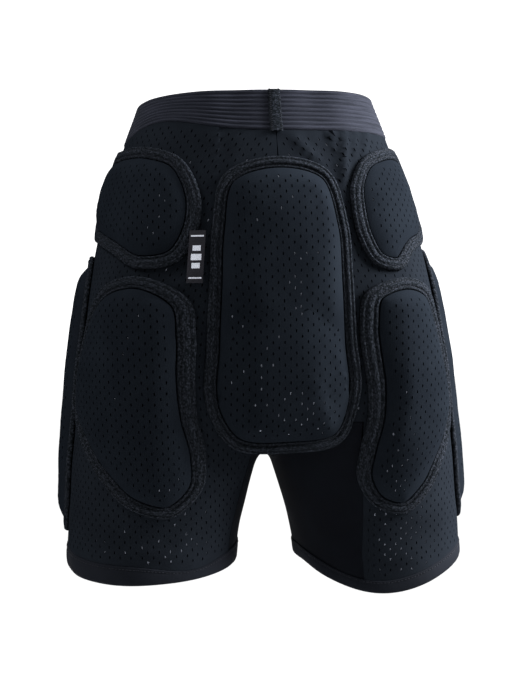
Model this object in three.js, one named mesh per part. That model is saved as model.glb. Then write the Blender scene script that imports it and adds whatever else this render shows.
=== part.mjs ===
// Hip pad: protective shorts with sewn-on foam pads, shaped as worn.
// Millimetres, +Z up. The origin is the centre of the waist opening, at the top edge of the elastic.
// The back of the garment faces -Y, its front +Y, and +X is the wearer's right.
import * as THREE from "three";

// Driving dimensions.
const LENGTH = 437; // top edge of the elastic to the lowest point of the hems
const HALF_WIDTH = 180; // middle of the body to the outside of a leg, at the hem
const BACK_DEPTH = 120; // waist's centre to the fullest part of the seat
const FRONT_DEPTH = 99; // waist's centre to the fullest part of the belly
const BAND_HEIGHT = 35; // waist elastic
const BAND_THICKNESS = 2.6;
const PANEL_THICKNESS = 1.6; // perforated stretch mesh
const HEM_HEIGHT = 14; // turned hem of a leg
const HEM_THICKNESS = 3;
const BINDING_WIDTH = 10.5; // knit border sewn round each pad
const BINDING_THICKNESS = 3.4;
const JOIN_THICKNESS = 1.3;
const LABEL_THICKNESS = 0.8;
const TAIL_PAD = { width: 134, height: 250, thickness: 17 };
const HIP_PAD_LEFT = { width: 169, height: 108, thickness: 11 };
const HIP_PAD_RIGHT = { width: 100, height: 111, thickness: 8.5 };
const THIGH_PAD_LEFT = { width: 120, height: 205, thickness: 13 };
const THIGH_PAD_RIGHT = { width: 88, height: 206, thickness: 13 };
const SIDE_PAD = { width: 104, height: 250, thickness: 14 };
const JOIN_WIDTH = 9; // overlocked strip that closes the elastic
const LABEL_WIDTH = 12;
const LABEL_HEIGHT = 43;

// Clearances.
const SEAM_GAP = 0.3; // between pieces that are sewn edge to edge
const LIE_GAP = 0.4; // between a piece and the one that it lies on
const PAD_SPACE = 3; // between the borders of two pads

// Shape of the body, one row for each height.
// down: share of LENGTH. axis, out, inn: share of HALF_WIDTH, for a leg's axis and its two half widths.
// back, front: share of BACK_DEPTH, FRONT_DEPTH. blend: share of HALF_WIDTH over which the sides join.
const BODY = [
  // down, axis, out, inn, back, front, blend
  [0.0, 0.25, 0.325, 0.444, 0.717, 0.828, 0.5],
  [0.08, 0.261, 0.394, 0.472, 0.775, 0.879, 0.5],
  [0.183, 0.294, 0.45, 0.494, 0.875, 0.939, 0.472],
  [0.297, 0.333, 0.483, 0.511, 0.958, 0.99, 0.444],
  [0.412, 0.372, 0.5, 0.528, 1.0, 1.0, 0.389],
  [0.515, 0.411, 0.5, 0.528, 0.983, 0.98, 0.333],
  [0.618, 0.456, 0.483, 0.511, 0.917, 0.939, 0.256],
  [0.721, 0.5, 0.467, 0.461, 0.833, 0.889, 0.167],
  [0.801, 0.539, 0.442, 0.442, 0.767, 0.848, 0.089],
  [0.881, 0.569, 0.422, 0.422, 0.725, 0.818, 0.056],
  [1.03, 0.594, 0.406, 0.4, 0.7, 0.788, 0.044],
];
const SEAT_ROUND = 0.0008; // how much the tailbone pad curves across, per millimetre
const FULLNESS = 2.25; // exponent of the leg's section: 2 is an ellipse, more is squarer

// Hems: where the bottom edge is at the sides of a leg, and how far it dips at the back.
// turn: degrees from straight back at which it dips most, towards the outside. sharp: how narrow the dip is.
const HEM_LEFT = { side: 0.934, dip: 0.022, turn: 14, sharp: 1.5 };
const HEM_RIGHT = { side: 0.943, dip: 0.057, turn: -9, sharp: 3 };

// Where the plain inner panel meets the mesh: degrees from straight back, towards the other leg.
// most: the largest share of the way to the centre seam that it may take above the crotch.
const INNER_EDGE_LEFT = { turn: 47, most: 0.8 };
const INNER_EDGE_RIGHT = { turn: 21.5, most: 0.62 };

// Edges of the pads, as shares of half their width and half their height: across, up.
// Across is positive towards the outside of the body.
const TAIL_EDGE = [
  [-0.04, 1.0], [-0.69, 0.88], [-0.87, 0.51], [-0.93, 0.13], [-0.98, -0.25], [-1.0, -0.64], [-0.65, -0.95],
  [0.06, -1.0], [0.76, -0.94], [1.0, -0.61], [0.94, -0.23], [0.9, 0.15], [0.86, 0.54], [0.64, 0.9],
];
const HIP_EDGE_LEFT = [
  [-0.07, 1.0], [0.31, 1.0], [0.8, 0.985], [1.0, 0.7], [0.98, -0.03], [0.68, -0.41], [0.3, -0.54],
  [-0.07, -0.71], [-0.41, -0.97], [-0.75, -0.89], [-0.93, -0.4], [-0.95, 0.21], [-0.79, 0.74], [-0.45, 0.95],
];
const HIP_EDGE_RIGHT = [
  [-0.31, 0.95], [0.18, 1.0], [0.66, 0.94], [0.94, 0.6], [1.0, 0.17], [0.91, -0.26], [0.53, -0.52],
  [0.07, -0.65], [-0.29, -0.95], [-0.7, -0.86], [-0.92, -0.47], [-1.0, -0.04], [-0.98, 0.4], [-0.75, 0.78],
];
const THIGH_EDGE_LEFT = [
  [0.85, 0.46], [0.6, 0.75], [0.18, 0.95], [-0.36, 1.0], [-0.78, 0.81], [-0.84, 0.5], [-0.83, 0.18],
  [-0.87, -0.14], [-0.98, -0.46], [-0.96, -0.77], [-0.58, -0.99], [-0.08, -0.9], [0.28, -0.66],
  [0.61, -0.4], [0.96, -0.16], [1.0, 0.16],
];
const THIGH_EDGE_RIGHT = [
  [-0.28, 1.0], [-0.81, 0.89], [-0.91, 0.63], [-0.88, 0.37], [-0.82, 0.11], [-0.83, -0.16], [-0.94, -0.41],
  [-1.0, -0.67], [-0.73, -0.91], [-0.17, -0.99], [0.27, -0.81], [0.54, -0.57], [0.81, -0.33],
  [1.0, -0.09], [0.91, 0.17], [0.73, 0.42], [0.57, 0.67], [0.3, 0.91],
];
const SIDE_EDGE = [
  [0.0, 1.0], [-0.62, 0.97], [-0.93, 0.78], [-0.99, 0.4], [-0.98, 0.0], [-0.93, -0.45], [-0.84, -0.84],
  [-0.5, -0.98], [0.0, -1.0], [0.5, -0.98], [0.84, -0.84], [0.93, -0.45], [0.98, 0.0], [0.99, 0.4],
  [0.93, 0.78], [0.62, 0.97],
];

// Each pad is wrapped round an axis of its own, by rays that turn about it.
// axis: share of HALF_WIDTH, and of FRONT_DEPTH. wrap: share of HALF_WIDTH that one radian of turn covers.
// start: share of the half width at which the edge meets its neighbour. stand: clearance under the corners.
const TAIL_PLACE = { side: 1, flat: true, middle: 0.4188, lean: 0, stand: 0.95 };
const HIP_PLACE = { axis: [0.333, 0], wrap: 0.528, start: -0.99, lean: 0, stand: 1.3 };
const THIGH_PLACE = { axis: [0.528, 0], wrap: 0.444, start: -0.83, lean: 0, stand: 1.35 };
const SIDE_PLACE = { axis: [0.472, 0], wrap: 0.489, stand: 1.35 };
const HIP_TOP_LEFT = 0.0984;
const HIP_TOP_RIGHT = 0.1076;
const SIDE_TOP = 0.306;
const SIDE_LEAN = -0.06;

// Where the inner edges of the hip and thigh pads start, as shares of the tailbone pad's width.
// shift: how much further out a thigh pad starts. drop: share of LENGTH between it and the hip pad above.
const HIP_START = 0.443;
const THIGH_START = 0.52;
const THIGH_LEFT = { shift: 0.024, drop: 0.012 };
const THIGH_RIGHT = { shift: -0.004, drop: 0.008 };
const SIDE_START = 8; // degrees from the thigh pad to the side pad

// Section of a binding from its outer foot: share of its width inwards, share of its thickness up.
const BINDING_SECTION = [
  [0, 0], [0.06, 0.75], [0.5, 1.25], [1, 1], [1, 0],
];

// Section of a pad's cover from its rim: millimetres inwards, share of the bulge up.
const COVER_SECTION = [
  [0, 0.24], [3.5, 0.62], [10, 0.88],
];
const COVER_HALFWAY = 0.98; // share of the bulge halfway to the middle

// Strips that lie flat on the body: down is the share of LENGTH from the top.
const JOIN_PLACE = { side: 1, axis: 0, turn: 0, wrap: 0.5, down: 0.0007, lean: 0 };
const LABEL_PLACE = { side: -1, axis: 0.333, turn: 5.6, wrap: 0.6, down: 0.2746, lean: 0.1 };
const LABEL_STAND = 6.45; // clear of the pads' bindings on either side

// Number of steps.
const ROWS_ABOVE = [
  0.0, 0.075, 0.155, 0.24, 0.325, 0.41, 0.495, 0.58, 0.665, 0.745, 0.82, 0.885, 0.94, 0.979, 0.995,
];
const ROWS_BELOW = 5;
const INNER_COLUMNS = 4;
const OUTER_COLUMNS = 16;
const BAND_COLUMNS = 44;
const BAND_RIBS = 5;
const EDGE_STEPS = 34;

const RAD = Math.PI / 180;

// A column of the body's table at a height, by monotone cubic steps.
function track(down, column) {
  const last = BODY.length - 1;
  const x = Math.min(Math.max(down, BODY[0][0]), BODY[last][0]);
  let i = 0;
  while (i < last - 1 && x > BODY[i + 1][0]) i += 1;
  const step = (j) => BODY[j + 1][0] - BODY[j][0];
  const rise = (j) => (BODY[j + 1][column] - BODY[j][column]) / step(j);
  const slope = (j) => {
    if (j === 0) return rise(0);
    if (j === last) return rise(last - 1);
    if (rise(j - 1) * rise(j) <= 0) return 0;
    const a = 2 * step(j) + step(j - 1);
    const b = step(j) + 2 * step(j - 1);
    return (a + b) / (a / rise(j - 1) + b / rise(j));
  };
  const h = step(i);
  const t = (x - BODY[i][0]) / h;
  const near = (1 + 2 * t) * (1 - t) ** 2 * BODY[i][column] + t * (1 - t) ** 2 * h * slope(i);
  return near + t * t * (3 - 2 * t) * BODY[i + 1][column] + t * t * (t - 1) * h * slope(i + 1);
}

const sections = new Map();

// The body's section at a height, in millimetres.
function sectionAt(z) {
  if (!sections.has(z)) {
    const down = -z / LENGTH;
    sections.set(z, {
      axis: track(down, 1) * HALF_WIDTH,
      out: track(down, 2) * HALF_WIDTH,
      inn: track(down, 3) * HALF_WIDTH,
      back: track(down, 4) * BACK_DEPTH,
      front: track(down, 5) * FRONT_DEPTH,
      blend: track(down, 6) * HALF_WIDTH,
    });
  }
  return sections.get(z);
}

// Roughly the distance outside the body's surface: two legs that run together above the crotch.
function outside(x, y, z) {
  const s = sectionAt(z);
  const leg = (px) => {
    const dx = px - s.axis;
    const w = dx > 0 ? s.out : s.inn;
    const h = y < 0 ? s.back : s.front;
    const r = ((Math.abs(dx) / w) ** FULLNESS + (Math.abs(y) / h) ** FULLNESS) ** (1 / FULLNESS);
    return (r - 1) * Math.min(w, h);
  };
  const a = leg(x);
  const b = leg(-x);
  const share = Math.max(s.blend - Math.abs(a - b), 0) / s.blend;
  return Math.min(a, b) - (share * share * s.blend) / 4;
}

// Where a level ray from an axis leaves the body, at the middle plane at the latest.
// The turn is in radians from straight back.
function reach(ax, ay, z, turn) {
  const sx = Math.sin(turn);
  const sy = -Math.cos(turn);
  const far = HALF_WIDTH + BACK_DEPTH + FRONT_DEPTH;
  let low = 0;
  let high = sx * ax < 0 ? Math.min(far, -ax / sx) : far;
  for (let i = 0; i < 40; i += 1) {
    const mid = (low + high) / 2;
    if (outside(ax + mid * sx, ay + mid * sy, z) < 0) low = mid;
    else high = mid;
  }
  return new THREE.Vector3(ax + low * sx, ay + low * sy, z);
}

function outward(p) {
  const e = 0.5;
  const g = (x, y, z) => outside(p.x + x, p.y + y, p.z + z) - outside(p.x - x, p.y - y, p.z - z);
  return new THREE.Vector3(g(e, 0, 0), g(0, e, 0), g(0, 0, e)).normalize();
}

// A point of the surface moved out along its normal.
const lifted = (p, height) => p.clone().addScaledVector(outward(p), height);

// A mesh from points and faces of three or four corners, turned to face out.
function solid(name, points, faces, material) {
  const index = [];
  faces.forEach((f) => {
    index.push(f[0], f[1], f[2]);
    if (f.length === 4) index.push(f[0], f[2], f[3]);
  });
  let volume = 0;
  const c = new THREE.Vector3();
  for (let i = 0; i < index.length; i += 3) {
    c.crossVectors(points[index[i + 1]], points[index[i + 2]]);
    volume += points[index[i]].dot(c);
  }
  if (volume < 0) index.reverse();
  const geometry = new THREE.BufferGeometry().setFromPoints(points);
  geometry.setIndex(index);
  geometry.computeVertexNormals();
  const mesh = new THREE.Mesh(geometry, material);
  mesh.name = name;
  return mesh;
}

// Cloth of one thickness from a sheet of faces: its rim is drawn in by half a seam, then closed.
function cloth(name, points, faces, thickness, material, rim = SEAM_GAP / 2) {
  const next = new Map();
  faces.forEach((f) =>
    f.forEach((a, i) => {
      next.set(a + "," + f[(i + 1) % f.length], [a, f[(i + 1) % f.length]]);
    }),
  );
  const border = [...next.values()].filter(([a, b]) => !next.has(b + "," + a));
  const normals = new Map();
  const used = [...new Set(faces.flat())];
  used.forEach((i) => normals.set(i, outward(points[i])));
  const pull = new Map();
  border.forEach(([a, b]) => {
    const along = points[b].clone().sub(points[a]);
    [a, b].forEach((i) => {
      const inward = normals.get(i).clone().cross(along).normalize();
      pull.set(i, [...(pull.get(i) || []), inward]);
    });
  });
  const place = new Map();
  const outer = [];
  used.forEach((i, k) => {
    place.set(i, k);
    const p = points[i].clone();
    const ways = pull.get(i);
    if (ways) {
      const cosine = Math.max(ways[0].dot(ways[1]), -0.5);
      p.addScaledVector(ways[0].clone().add(ways[1]), rim / (1 + cosine));
    }
    outer.push(p);
  });
  const inner = used.map((i, k) => outer[k].clone().addScaledVector(normals.get(i), -thickness));
  const n = outer.length;
  const front = faces.map((f) => f.map((i) => place.get(i)));
  const behind = front.map((f) => f.map((i) => i + n).reverse());
  const sides = border.map(([a, b]) => {
    const i = place.get(a);
    const j = place.get(b);
    return [j, i, i + n, j + n];
  });
  return solid(name, [...outer, ...inner], [...front, ...behind, ...sides], material);
}

// A closed ring from one loop of points for each corner of its section.
function ring(name, loops, material) {
  const n = loops[0].length;
  const m = loops.length;
  const faces = [];
  for (let j = 0; j < m; j += 1) {
    for (let i = 0; i < n; i += 1) {
      const k = ((j + 1) % m) * n;
      faces.push([j * n + i, j * n + ((i + 1) % n), k + ((i + 1) % n), k + i]);
    }
  }
  return solid(name, loops.flat(), faces, material);
}

// A closed cushion from loops that run from its underside to its top, with a point at each end.
function cushion(name, loops, bottom, top, material) {
  const n = loops[0].length;
  const m = loops.length;
  const faces = [];
  for (let j = 0; j < m - 1; j += 1) {
    for (let i = 0; i < n; i += 1) {
      const k = (j + 1) * n;
      faces.push([j * n + i, j * n + ((i + 1) % n), k + ((i + 1) % n), k + i]);
    }
  }
  for (let i = 0; i < n; i += 1) {
    faces.push([(i + 1) % n, i, m * n]);
    faces.push([(m - 1) * n + i, (m - 1) * n + ((i + 1) % n), m * n + 1]);
  }
  return solid(name, [...loops.flat(), bottom, top], faces, material);
}

// Materials.
const fabric = (color, roughness) => new THREE.MeshStandardMaterial({ color, roughness, metalness: 0 });
const meshCloth = fabric(0x15171d, 0.9);
const plainCloth = fabric(0x12141b, 0.85);
const elastic = fabric(0x1f2126, 0.85);
const knit = fabric(0x1b1c20, 0.95);
const cover = fabric(0x191c23, 0.9);
const woven = fabric(0x0d0d0f, 0.6);

const group = new THREE.Group();
group.name = "hip_pad";

// Height of the crotch: the lowest level at which the two sides still meet.
function crotchHeight() {
  let low = -0.95 * LENGTH;
  let high = -0.4 * LENGTH;
  for (let i = 0; i < 50; i += 1) {
    const mid = (low + high) / 2;
    if (outside(0, 0, mid) > 0) low = mid;
    else high = mid;
  }
  return high;
}
const CROTCH = crotchHeight();

// Depth of the surface at a distance from the centre line: way is -1 at the back, 1 at the front.
function depthAt(x, z, way) {
  let low = 0;
  let high = BACK_DEPTH + FRONT_DEPTH;
  for (let i = 0; i < 40; i += 1) {
    const mid = (low + high) / 2;
    if (outside(x, way * mid, z) < 0) low = mid;
    else high = mid;
  }
  return low;
}

// A point over the seat: it follows the back, and runs straight across the hollow between the legs.
function seatPoint(x, z, height) {
  const depth = (px, pz) => Math.max(depthAt(px, pz, -1), sectionAt(pz).back - SEAT_ROUND * px * px);
  const e = 0.5;
  const dx = (depth(x + e, z) - depth(x - e, z)) / (2 * e);
  const dz = (depth(x, z + e) - depth(x, z - e)) / (2 * e);
  const normal = new THREE.Vector3(-dx, -1, -dz).normalize();
  return new THREE.Vector3(x, -depth(x, z), z).addScaledVector(normal, height);
}

// Turn at which a ray from an axis meets the back at a distance from the centre line.
function turnAt(axis, x, z) {
  return Math.atan2(x - axis * HALF_WIDTH, depthAt(x, z, -1)) / RAD;
}

// Bottom edge of a leg at a turn in radians from straight back, and the seam above its hem.
function hemBottom(hem, turn) {
  const near = Math.max(Math.cos(turn - hem.turn * RAD), 0);
  return -LENGTH * (hem.side + hem.dip * near ** hem.sharp);
}

// Turns of a side's columns at a height: from the join at the back round the outside to the front.
function columnsAt(z, innerEdge) {
  const axis = sectionAt(z).axis;
  const joined = z > CROTCH;
  const from = joined ? -Math.atan2(axis, depthAt(0, z, -1)) : -90 * RAD;
  const to = joined ? 180 * RAD + Math.atan2(axis, depthAt(0, z, 1)) : 270 * RAD;
  const first = Math.max(-innerEdge.turn * RAD, from * innerEdge.most);
  const last = 180 * RAD + Math.min(innerEdge.turn * RAD, (to - 180 * RAD) * innerEdge.most);
  const turns = [];
  for (let i = 0; i < INNER_COLUMNS; i += 1) turns.push(from + ((first - from) * i) / INNER_COLUMNS);
  for (let i = 0; i < OUTER_COLUMNS; i += 1) turns.push(first + ((last - first) * i) / OUTER_COLUMNS);
  for (let i = 0; i <= INNER_COLUMNS; i += 1) turns.push(last + ((to - last) * i) / INNER_COLUMNS);
  return turns;
}

// One side of the body: its mesh panel, its plain inner panel and its hem.
function buildSide(word, side, hem, innerEdge) {
  const points = [];
  const rows = ROWS_ABOVE.map((t) => -BAND_HEIGHT + (CROTCH + BAND_HEIGHT) * t);
  rows.push(CROTCH);
  const above = rows.length - 1;
  for (let i = 0; i < ROWS_BELOW; i += 1) rows.push(CROTCH);
  const width = 2 * INNER_COLUMNS + OUTER_COLUMNS + 1;
  rows.forEach((level, r) => {
    const t = Math.max(r - above, 0) / ROWS_BELOW;
    columnsAt(level, innerEdge).forEach((turn) => {
      const z = level + (hemBottom(hem, turn) + HEM_HEIGHT - CROTCH) * t;
      points.push(reach(sectionAt(z).axis, 0, z, turn));
    });
  });
  rows.slice(0, above).forEach((level, r) => {
    points[r * width].set(0, -depthAt(0, level, -1), level);
    points[r * width + width - 1].set(0, depthAt(0, level, 1), level);
  });
  points.forEach((p) => {
    p.x *= side;
  });
  const at = (r, c) => r * width + (r >= above && c === width - 1 ? 0 : c);
  const meshFaces = [];
  const innerFaces = [];
  for (let r = 0; r < rows.length - 1; r += 1) {
    for (let c = 0; c < width - 1; c += 1) {
      let f = [at(r, c), at(r + 1, c), at(r + 1, c + 1), at(r, c + 1)];
      if (side < 0) f = f.reverse();
      const inner = c < INNER_COLUMNS || c >= INNER_COLUMNS + OUTER_COLUMNS;
      if (inner && r >= above - 3) innerFaces.push(f);
      else meshFaces.push(f);
    }
  }
  group.add(cloth("mesh_panel_" + word, points, meshFaces, PANEL_THICKNESS, meshCloth));
  group.add(cloth("inner_leg_panel_" + word, points, innerFaces, PANEL_THICKNESS, plainCloth, 1.3 * SEAM_GAP));

  const loop = (up, height) =>
    columnsAt(CROTCH, innerEdge)
      .slice(0, -1)
      .map((turn) => {
        const z = hemBottom(hem, turn) + up;
        const p = lifted(reach(sectionAt(z).axis, 0, z, turn), height);
        p.x *= side;
        return p;
      });
  const top = HEM_HEIGHT - SEAM_GAP / 2;
  const proud = HEM_THICKNESS - PANEL_THICKNESS;
  const hemLoops = [
    loop(top, -PANEL_THICKNESS),
    loop(top, 0.3 * proud),
    loop(HEM_HEIGHT * 0.75, proud),
    loop(HEM_HEIGHT * 0.15, proud),
    loop(0, 0),
    loop(HEM_HEIGHT * 0.1, -PANEL_THICKNESS),
  ];
  group.add(ring("leg_hem_" + word, hemLoops, plainCloth));
}

// The edge of a pad as evenly spaced points, in millimetres about its middle: across, up.
function edgeOf(size, shares) {
  const corners = shares.map(([a, u]) => new THREE.Vector3((a * size.width) / 2, (u * size.height) / 2, 0));
  if (THREE.ShapeUtils.area(corners) < 0) corners.reverse();
  const curve = new THREE.CatmullRomCurve3(corners, true, "centripetal");
  return curve.getSpacedPoints(EDGE_STEPS).slice(0, -1);
}

// A flat edge drawn in towards the middle by a width.
function drawnIn(edge, width) {
  return edge.map((p, i) => {
    const before = edge[(i + EDGE_STEPS - 1) % EDGE_STEPS];
    const after = edge[(i + 1) % EDGE_STEPS];
    const along = after.clone().sub(before).normalize();
    return new THREE.Vector3(p.x - along.y * width, p.y + along.x * width, 0);
  });
}

const scaled = (edge, share) => edge.map((p) => p.clone().multiplyScalar(share));

// A pad and the knit border round it.
function buildPad(words, size, shares, place) {
  const edge = edgeOf(size, shares);
  const wrap = place.wrap * HALF_WIDTH;
  const on = (p, height) => {
    const z = -place.middle * LENGTH + p.y;
    if (place.flat) return seatPoint(p.x, z, height);
    const turn = place.turn * RAD + (p.x + place.lean * p.y) / wrap;
    const q = lifted(reach(place.axis[0] * HALF_WIDTH, place.axis[1] * FRONT_DEPTH, z, turn), height);
    q.x *= place.side;
    return q;
  };
  const loop = (flat, height) => flat.map((p) => on(p, height));
  const foot = place.stand;
  const rise = BINDING_THICKNESS;
  const binding = BINDING_SECTION.map(([across, up]) =>
    loop(drawnIn(edge, across * BINDING_WIDTH), foot + up * rise),
  );
  group.add(ring(words[0] + "_binding" + words[1], binding, knit));

  const start = BINDING_WIDTH + 2 * SEAM_GAP;
  const rim = drawnIn(edge, start);
  const bulge = size.thickness - foot;
  const loops = [
    loop(scaled(rim, 0.36), foot + LIE_GAP),
    loop(scaled(rim, 0.7), foot + LIE_GAP),
    loop(rim, foot),
    ...COVER_SECTION.map(([across, up]) => loop(drawnIn(edge, start + across), foot + up * bulge)),
    loop(scaled(rim, 0.5), foot + COVER_HALFWAY * bulge),
  ];
  const centre = new THREE.Vector3();
  const name = words[0] + "_pad" + words[1];
  group.add(cushion(name, loops, on(centre, foot + LIE_GAP), on(centre, foot + bulge), cover));
}

// Place of a pad whose inner edge starts at a distance from the centre line.
function placeFrom(form, side, size, x, middle) {
  const inner = turnAt(form.axis[0], x, -middle * LENGTH);
  const half = (-form.start * size.width) / 2 / (form.wrap * HALF_WIDTH) / RAD;
  return { ...form, side, middle, turn: inner + half };
}

// The waist's elastic: a ring with shallow ribs that run round it.
function buildBand() {
  const loop = (down, height) => {
    const points = [];
    for (let i = 0; i < BAND_COLUMNS; i += 1) {
      points.push(lifted(reach(0, 0, -down, (2 * Math.PI * i) / BAND_COLUMNS), height));
    }
    return points;
  };
  const foot = BAND_HEIGHT - SEAM_GAP;
  const inside = -PANEL_THICKNESS;
  const loops = [loop(foot, inside), loop(foot, inside + 0.8 * BAND_THICKNESS)];
  const pitch = foot / BAND_RIBS;
  for (let i = BAND_RIBS; i > 0; i -= 1) {
    loops.push(loop(pitch * (i - 0.3), inside + BAND_THICKNESS));
    if (i > 1) loops.push(loop(pitch * (i - 1), inside + 0.84 * BAND_THICKNESS));
  }
  loops.push(loop(0, inside + 0.8 * BAND_THICKNESS), loop(0, inside));
  group.add(ring("waistband", loops, elastic));
}

// A small flat strip that follows the body: its corners lie on a grid of across and down.
function strip(name, place, size, height, thickness, material) {
  const points = [];
  const columns = 2;
  const rows = 4;
  for (let r = 0; r <= rows; r += 1) {
    for (let c = 0; c <= columns; c += 1) {
      const down = place.down * LENGTH + (size.height * r) / rows;
      const across = (c / columns - 0.5) * size.width + place.lean * (r / rows - 0.5) * size.height;
      const turn = place.turn * RAD + across / (place.wrap * HALF_WIDTH);
      const p = lifted(reach(place.axis * HALF_WIDTH, 0, -down, turn), height);
      p.x *= place.side;
      points.push(p);
    }
  }
  const faces = [];
  for (let r = 0; r < rows; r += 1) {
    for (let c = 0; c < columns; c += 1) {
      const k = r * (columns + 1) + c;
      const f = [k, k + columns + 1, k + columns + 2, k + 1];
      faces.push(place.side < 0 ? f.reverse() : f);
    }
  }
  group.add(cloth(name, points, faces, thickness, material, 0));
}

buildSide("left", -1, HEM_LEFT, INNER_EDGE_LEFT);
buildSide("right", 1, HEM_RIGHT, INNER_EDGE_RIGHT);
buildBand();

const joinSize = { width: JOIN_WIDTH, height: BAND_HEIGHT + 1 };
const joinTop = BAND_THICKNESS - PANEL_THICKNESS + LIE_GAP + JOIN_THICKNESS;
strip("waistband_join", JOIN_PLACE, joinSize, joinTop, JOIN_THICKNESS, knit);

// The pads start at the tailbone pad, and each of the others is placed from its neighbour.
buildPad(["tailbone", ""], TAIL_PAD, TAIL_EDGE, TAIL_PLACE);
const sides = [
  ["_left", -1, HIP_PAD_LEFT, HIP_EDGE_LEFT, HIP_TOP_LEFT, THIGH_PAD_LEFT, THIGH_EDGE_LEFT, THIGH_LEFT],
  ["_right", 1, HIP_PAD_RIGHT, HIP_EDGE_RIGHT, HIP_TOP_RIGHT, THIGH_PAD_RIGHT, THIGH_EDGE_RIGHT, THIGH_RIGHT],
];
for (const [word, side, hip, hipEdge, hipTop, thigh, thighEdge, offset] of sides) {
  const hipMiddle = hipTop + hip.height / 2 / LENGTH;
  const hipStart = TAIL_PAD.width * HIP_START + PAD_SPACE;
  const hipPlace = placeFrom(HIP_PLACE, side, hip, hipStart, hipMiddle);
  buildPad(["hip", word], hip, hipEdge, hipPlace);
  const thighMiddle = hipTop + (hip.height + thigh.height / 2) / LENGTH + offset.drop;
  const thighStart = TAIL_PAD.width * (THIGH_START + offset.shift) + PAD_SPACE;
  const thighPlace = placeFrom(THIGH_PLACE, side, thigh, thighStart, thighMiddle);
  buildPad(["thigh", word], thigh, thighEdge, thighPlace);
  const sideMiddle = SIDE_TOP + SIDE_PAD.height / 2 / LENGTH;
  const thighEnd = thighPlace.turn + thigh.width / 2 / (THIGH_PLACE.wrap * HALF_WIDTH) / RAD;
  const sideHalf = SIDE_PAD.width / 2 / (SIDE_PLACE.wrap * HALF_WIDTH) / RAD;
  const sideTurn = thighEnd + SIDE_START + sideHalf;
  const sidePlace = { ...SIDE_PLACE, side, middle: sideMiddle, lean: SIDE_LEAN, turn: sideTurn };
  buildPad(["side", word], SIDE_PAD, SIDE_EDGE, sidePlace);
}
const labelSize = { width: LABEL_WIDTH, height: LABEL_HEIGHT };
strip("label", LABEL_PLACE, labelSize, LABEL_STAND, LABEL_THICKNESS, woven);

export default group;
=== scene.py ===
"""Padded protective shorts in their worn form, dressed and lit as seen from the back."""

import logging
import math
from collections.abc import Sequence
from dataclasses import dataclass, field
from enum import Enum
from functools import cached_property
from typing import Any

import bmesh
import bpy
import numpy as np
from mathutils import Matrix, Vector, bvhtree, geometry


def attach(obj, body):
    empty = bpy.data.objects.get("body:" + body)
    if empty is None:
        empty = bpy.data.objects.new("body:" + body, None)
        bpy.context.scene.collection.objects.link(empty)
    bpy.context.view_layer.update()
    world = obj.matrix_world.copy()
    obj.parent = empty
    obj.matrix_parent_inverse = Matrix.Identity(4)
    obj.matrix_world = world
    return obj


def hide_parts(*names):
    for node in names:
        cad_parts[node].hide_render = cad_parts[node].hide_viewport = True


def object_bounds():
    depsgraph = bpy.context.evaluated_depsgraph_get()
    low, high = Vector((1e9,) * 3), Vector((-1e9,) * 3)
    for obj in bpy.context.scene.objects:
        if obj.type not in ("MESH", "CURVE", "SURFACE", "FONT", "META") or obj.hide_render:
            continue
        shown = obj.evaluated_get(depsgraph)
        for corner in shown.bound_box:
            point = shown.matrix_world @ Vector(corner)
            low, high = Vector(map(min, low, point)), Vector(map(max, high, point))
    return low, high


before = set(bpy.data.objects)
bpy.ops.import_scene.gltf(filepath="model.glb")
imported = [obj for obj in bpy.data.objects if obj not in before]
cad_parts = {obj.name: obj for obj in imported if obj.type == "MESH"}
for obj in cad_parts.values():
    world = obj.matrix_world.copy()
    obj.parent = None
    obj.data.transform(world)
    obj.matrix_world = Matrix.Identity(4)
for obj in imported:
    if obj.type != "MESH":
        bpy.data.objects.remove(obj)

log = logging.getLogger("hip_pad")
MM = 0.001
# Middle of every lay, in millimetres: threads are counted from well outside the cloth.
LAY_MIDDLE = 500.0
Array = np.ndarray
Face = tuple[int, ...]


class Side(Enum):
    """The two sides of the garment, by the sign of X."""

    LEFT = -1
    RIGHT = 1

    @property
    def word(self) -> str:
        """The side's name as the pieces carry it."""
        return self.name.lower()


class Slot(Enum):
    """The record's material slots."""

    MESH = "mesh_cloth"
    PLAIN = "plain_cloth"
    ELASTIC = "elastic"
    KNIT = "knit_binding"
    COVER = "pad_cover"
    LABEL = "woven_label"


class Way(Enum):
    """Back or front of the body, by the sign of Y."""

    BACK = -1
    FRONT = 1


# Finishes


def linear(colour: str) -> tuple[float, float, float, float]:
    """Turn an sRGB hex colour into linear values.

    Args:
        colour: Six hex digits.

    Returns:
        Red, green and blue as light, and full cover.
    """
    parts = [int(colour[i : i + 2], 16) / 255 for i in (0, 2, 4)]
    light = [p / 12.92 if p <= 0.04045 else ((p + 0.055) / 1.055) ** 2.4 for p in parts]
    return (light[0], light[1], light[2], 1.0)


def add_node(
    tree: bpy.types.NodeTree,
    kind: str,
    settings: dict[str, Any] | None = None,
    inputs: dict[str | int, Any] | None = None,
) -> bpy.types.Node:
    """Add a node with its settings, and link or fill its inputs.

    Args:
        tree: The tree that takes the node.
        kind: The node's type name.
        settings: Attributes of the node.
        inputs: Sockets by name or number, each with a value or the socket to link from.

    Returns:
        The new node.
    """
    made = tree.nodes.new(kind)
    for key, value in (settings or {}).items():
        setattr(made, key, value)
    for key, value in (inputs or {}).items():
        if isinstance(value, bpy.types.NodeSocket):
            tree.links.new(value, made.inputs[key])
        else:
            made.inputs[key].default_value = value
    return made


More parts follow.
